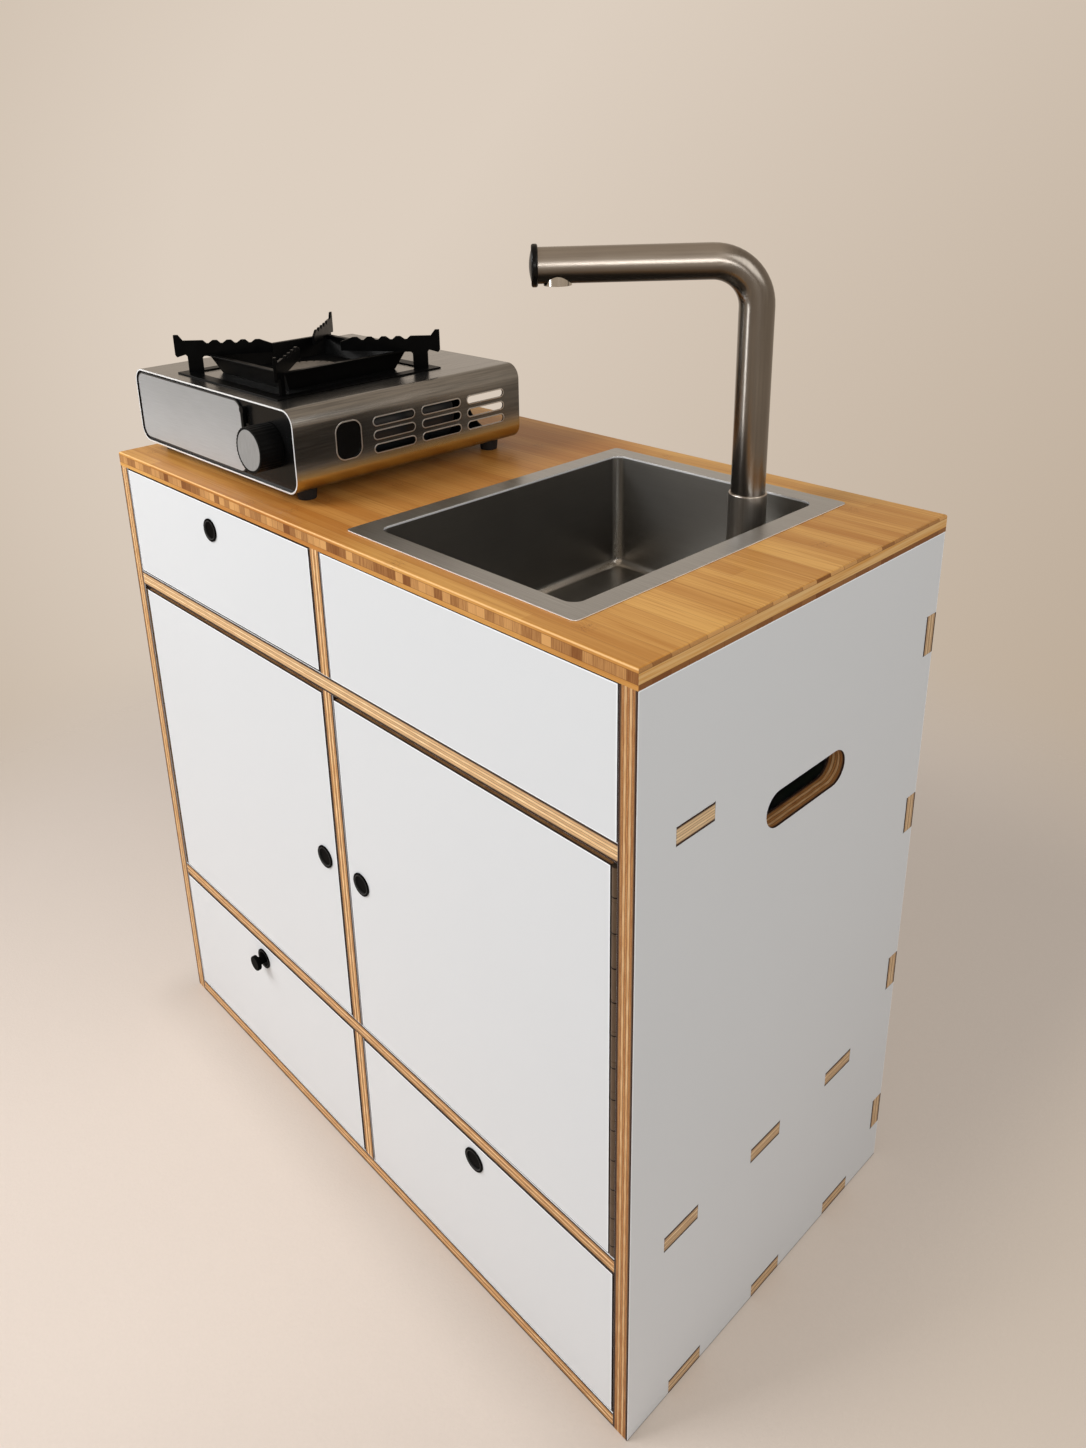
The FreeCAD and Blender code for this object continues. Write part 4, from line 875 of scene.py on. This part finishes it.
# Tap: brushed stainless pipe bent over the bowl, standing in a collar. It has an aerator under its
# end, which a black ring and button close.

tap_x, tap_y = 0.257, 0.119
spout_heading = math.radians(226.0)
spout_middle_z = 1.033
spout_radius = 0.0165
spout_begins = (0.016, 0.040)
tap_dark = paint(116, 111, 106)
tap_light = paint(146, 141, 135)
underside_rise = (-0.6, 0.25)
underside_painted_shade = 0.72
topside_painted_light = 0.73

tap_steel = Finish("tap steel", {"Metallic": 1.0})
place_x, place_y, place_z = tap_steel.axes(tap_steel.place())
from_tap_x = place_x - tap_x
from_tap_y = place_y - tap_y
along_spout = from_tap_x * math.cos(spout_heading) + from_tap_y * math.sin(spout_heading)
beside_spout = from_tap_y * math.cos(spout_heading) - from_tap_x * math.sin(spout_heading)

# Brushing runs along the pipe, level in the spout and upright below it.
level_spot = tap_steel.vector(along_spout * 10, beside_spout * 420, place_z * 420)
level_lines = tap_steel.grain(level_spot, scale=1.0, detail=4.0, roughness=0.6)
upright_lines = tap_steel.streaks((420, 420, 10), detail=4.0, roughness=0.6)
on_level = tap_steel.between(along_spout, *spout_begins)
tap_lines = tap_steel.blend(on_level, upright_lines, level_lines)
tap_cloud = tap_steel.grain(tap_steel.place(), scale=12.0, detail=3.0)
tap_tone = tap_steel.between(tap_lines, 0.2, 0.8) * 0.4 + tap_cloud * 0.6
tap_colour = tap_steel.mix(tap_tone, tap_dark, tap_light)

# Painted shade and light: the spout's underside is darkened and its top lightened, by its height
# in radii from the pipe's middle.
rise = (place_z - spout_middle_z) / spout_radius
turned_up = tap_steel.between(rise, *underside_rise)
level_shade = 1 + on_level * (turned_up * (topside_painted_light + underside_painted_shade) - underside_painted_shade)
tap_steel.feed("Base Color", tap_steel.shade(tap_colour, level_shade))
tap_steel.feed("Roughness", 0.19 + on_level * 0.09 + tap_lines * 0.05 + tap_cloud * 0.04)
tap_steel.relief(tap_lines * 0.0003)

chrome = metal_finish(
    "aerator chrome", light=paint(216, 213, 208), dark=paint(190, 187, 182),
    roughness=0.14, stretch=(300, 300, 30), contrast=0.8, depth_mm=0.001,
)
spout_black = moulded_finish(
    "spout black", {"Specular IOR Level": 0.14, "Coat Weight": 0.05, "Coat Roughness": 0.1},
    dark=paint(5, 5, 5), light=paint(13, 13, 13),
    roughness=(0.26, 0.1), cloud=(50.0, 2.0, 0.0), mould=(800.0, 2.0, 0.006),
)
collar_steel = metal_finish(
    "collar steel", light=paint(200, 194, 187), dark=paint(174, 168, 161),
    roughness=0.30, stretch=(420, 420, 10), contrast=0.6, depth_mm=0.0006,
)
softened("tap_collar", 0.0004, collar_steel)
softened("tap_nut", 0.0004, tap_steel)
softened("tap_spout", 0.0002, tap_steel)
softened("tap_aerator", 0.0004, chrome)
softened("spout_end_ring", 0.0006, spout_black, segments=3)
softened("spout_end_button", 0.0004, spout_black, segments=3)


# Stove shell: one sheet of brushed stainless steel folded over the portable stove. The vents in its
# right side, and the window before them, have rims pressed outwards.

shell_low, shell_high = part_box("stove_shell")
vent_length = 0.053
vent_height = 0.008
vent_pitch = 0.064
vent_rise = 0.0145
vent_first_y = shell_low[1] + 0.1235
vent_middle_z = shell_low[2] + 0.044
window_y = shell_low[1] + 0.065
window_z = shell_low[2] + 0.046
window_half_width = 0.015
window_half_height = 0.019
window_corner = 0.010
pressed_rim = 0.0016
front_highlight_width = (0.0010, 0.0016)
pressed_highlight_share = 0.55
pressed_mm = 0.25
reflection_rise = (0.012, 0.030)
reflection_share = 0.75
dark_reflection_begins = (0.022, 0.036)
dark_reflection_ends = (0.060, 0.076)
dark_reflection_loss = 0.5
shell_dark = paint(118, 118, 117)
shell_light = paint(174, 173, 171)
shell_highlight = paint(236, 236, 236)
bamboo_reflection = paint(218, 196, 120)

stove_steel = Finish("stove steel", {"Metallic": 1.0})
shell_spot = stove_steel.place()
shell_x, shell_y, shell_z = stove_steel.axes(shell_spot)
shell_face_x, shell_face_y = stove_steel.facing()[:2]
shell_lines = stove_steel.streaks((500, 12, 500), detail=4.0, roughness=0.65)
shell_cloud = stove_steel.grain(shell_spot, scale=7.0, detail=3.0)
shell_tone = stove_steel.between(shell_lines, 0.22, 0.78) * 0.7 + shell_cloud * 0.3
shell_colour = stove_steel.mix(shell_tone, shell_dark, shell_light)


def edge_distance(along, up, half_along, half_up, corner):
    """Distance outside a rounded rectangle: how far the point lies beyond the straight part each
    way, taken as a length, less the corner radius."""
    beyond_along = (abs(along) - (half_along - corner)).at_least(0.0)
    beyond_up = (abs(up) - (half_up - corner)).at_least(0.0)
    return (beyond_along * beyond_along + beyond_up * beyond_up) ** 0.5 - corner


# Vents: three rows of three long holes. The nearest hole's place is the remainder over the pitch.
vent_along = (shell_y - (vent_first_y - vent_pitch / 2)) % vent_pitch - vent_pitch / 2
vent_up = (shell_z - (vent_middle_z - vent_rise / 2)) % vent_rise - vent_rise / 2
vent_edge = edge_distance(vent_along, vent_up, vent_length / 2, vent_height / 2, vent_height / 2)
in_rows = abs(shell_z - vent_middle_z) < vent_rise * 1.5
in_columns = abs(shell_y - vent_first_y - vent_pitch) < vent_pitch * 1.5
window_edge = edge_distance(
    shell_y - window_y, shell_z - window_z, window_half_width, window_half_height, window_corner)
rim_fall = (pressed_rim * 0.6, pressed_rim)
around_vent = stove_steel.within(vent_edge, *rim_fall) * (in_rows * in_columns)
around_window = stove_steel.within(window_edge, *rim_fall)
right_half = shell_x > 0.5 * (shell_low[0] + shell_high[0])
on_side = stove_steel.between(shell_face_x, 0.6, 0.9) * right_half
pressed = around_vent.at_least(around_window) * on_side
front_edge_highlight = stove_steel.between(shell_face_y, 0.5, 0.8)
front_edge_highlight = front_edge_highlight * stove_steel.within(shell_y - shell_low[1], *front_highlight_width)
# Painted highlights: the pressed rims and the shell's front edge are painted near white.
shell_colour = stove_steel.mix(pressed * pressed_highlight_share, shell_colour, shell_highlight)
shell_colour = stove_steel.mix(front_edge_highlight, shell_colour, shell_highlight)

# Painted reflections: the right side carries a painted warm reflection of the bamboo along its
# foot, and a painted dark reflection band above that.
above_base = shell_z - shell_low[2]
plain_side = on_side * (1 - pressed)
foot_reflection = stove_steel.within(above_base, *reflection_rise) * plain_side
shell_colour = stove_steel.mix(foot_reflection * reflection_share, shell_colour, bamboo_reflection)
dark_reflection = stove_steel.between(above_base, *dark_reflection_begins)
dark_reflection = dark_reflection * stove_steel.within(above_base, *dark_reflection_ends) * plain_side
shell_colour = stove_steel.shade(shell_colour, 1 - dark_reflection * dark_reflection_loss)
shell_rough = 0.18 + shell_lines * 0.08 + shell_cloud * 0.06 + pressed * 0.12 + front_edge_highlight * 0.15
stove_steel.feed("Base Color", shell_colour)
stove_steel.feed("Metallic", 1 - front_edge_highlight * 0.7)
stove_steel.feed("Roughness", shell_rough)
stove_steel.relief(shell_lines * 0.004 + pressed * pressed_mm)
softened("stove_shell", 0.0006, stove_steel, segments=3)


# Stove chassis: a tray of black painted steel sheet that closes the shell from below. The burner,
# the valve and the cartridge sit in it.

stove_black = moulded_finish(
    "stove black", {"Specular IOR Level": 0.14, "Coat Weight": 0.04, "Coat Roughness": 0.08},
    dark=paint(6, 6, 6), light=paint(16, 16, 16),
    roughness=(0.2, 0.1), cloud=(30.0, 2.0, 0.0), mould=(600.0, 2.0, 0.005),
)
softened("stove_chassis", 0.0004, stove_black)


# Stove front panel: a silver painted plate with round corners and a black gasket round its edge,
# set into the shell's open front. Painted light makes it lighter at its foot.

panel_low, panel_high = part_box("stove_front_panel")
panel_corner = 0.0132
gasket_width = 0.0016
panel_metallic = 0.55
panel_dark = paint(176, 178, 180)
panel_light = paint(194, 196, 198)
gasket_black = paint(12, 12, 12)

stove_silver = Finish("stove silver", {"Metallic": panel_metallic})
silver_spot = stove_silver.place()
silver_x, silver_z = stove_silver.axes(silver_spot)[::2]
silver_lines = stove_silver.streaks((30, 900, 900), detail=4.0, roughness=0.65)
silver_cloud = stove_silver.grain(silver_spot, scale=7.0, detail=3.0)
silver_edge = edge_distance(
    silver_x - (panel_low[0] + panel_high[0]) / 2, silver_z - (panel_low[2] + panel_high[2]) / 2,
    (panel_high[0] - panel_low[0]) / 2, (panel_high[2] - panel_low[2]) / 2, panel_corner)
gasket = stove_silver.between(silver_edge, gasket_width * -1.2, gasket_width * -0.9)
silver_tone = stove_silver.between(silver_lines, 0.2, 0.8) * 0.6 + silver_cloud * 0.4
silver_colour = stove_silver.mix(silver_tone, panel_dark, panel_light)
panel_light_gradient = stove_silver.between(silver_z, panel_low[2] + 0.01, panel_high[2])
silver_colour = stove_silver.shade(silver_colour, 1.06 - panel_light_gradient * 0.26)
stove_silver.feed("Base Color", stove_silver.mix(gasket, silver_colour, gasket_black))
stove_silver.feed("Metallic", panel_metallic - gasket * panel_metallic)
stove_silver.feed("Roughness", 0.38 + silver_lines * 0.08 + silver_cloud * 0.06)
stove_silver.relief(silver_lines * 0.004)
softened("stove_front_panel", 0.0004, stove_silver)


# Inside and under the stove: four rubber feet, a cast burner, a brass gas valve and a painted gas
# cartridge that lies along the right side.

foot_rubber = moulded_finish(
    "foot rubber", {"Specular IOR Level": 0.3}, dark=paint(16, 15, 15), light=paint(34, 32, 31),
    roughness=(0.6, 0.2), cloud=(500.0, 3.0, 0.02),
)
softened("stove_feet", 0.0006, foot_rubber)
burner_alloy = metal_finish(
    "burner alloy", light=paint(150, 146, 140), dark=paint(96, 92, 88),
    roughness=0.45, stretch=(300, 300, 300), depth_mm=0.02,
)
softened("stove_burner", 0.0003, burner_alloy)
valve_brass = metal_finish(
    "valve brass", light=paint(206, 170, 96), dark=paint(160, 124, 60),
    roughness=0.3, stretch=(300, 300, 300),
)
softened("stove_valve", 0.0004, valve_brass)
cartridge_paint = moulded_finish(
    "cartridge paint", {"Specular IOR Level": 0.4, "Coat Weight": 0.2, "Coat Roughness": 0.1},
    dark=paint(30, 32, 34), light=paint(44, 46, 48),
    roughness=(0.3, 0.1), cloud=(20.0, 2.0, 0.01),
)
softened("gas_cartridge", 0.0003, cartridge_paint)


# Stove knob and lever: a black moulded knob with a silver disc let into its face, and the black tab
# of the cartridge lever above it.

knob_black = moulded_finish(
    "knob black", {"Specular IOR Level": 0.05}, dark=paint(6, 6, 6), light=paint(18, 18, 18),
    roughness=(0.34, 0.12), cloud=(700.0, 2.0, 0.01),
)
knob_silver = metal_finish(
    "knob silver", light=paint(178, 180, 182), dark=paint(154, 156, 158),
    roughness=0.36, stretch=(500, 500, 60), contrast=0.6, metallic=0.6,
)
softened("stove_knob", 0.0006, knob_black, segments=3)
softened("stove_knob_face", 0.0003, knob_silver)
softened("stove_lever", 0.0004, knob_black)


# Pan support: one black enamelled pressing, a frame with a drip tray and four notched arms, which
# rests on the shell over the burner and lifts off.

enamel_black = moulded_finish(
    "black enamel", {"Specular IOR Level": 0.03, "Coat Weight": 0.02, "Coat Roughness": 0.12},
    dark=paint(4, 4, 4), light=paint(12, 12, 12),
    roughness=(0.24, 0.14), cloud=(90.0, 3.0, 0.05), mould=(900.0, 2.0, 0.008),
)
softened("pan_support", 0.0005, enamel_black)
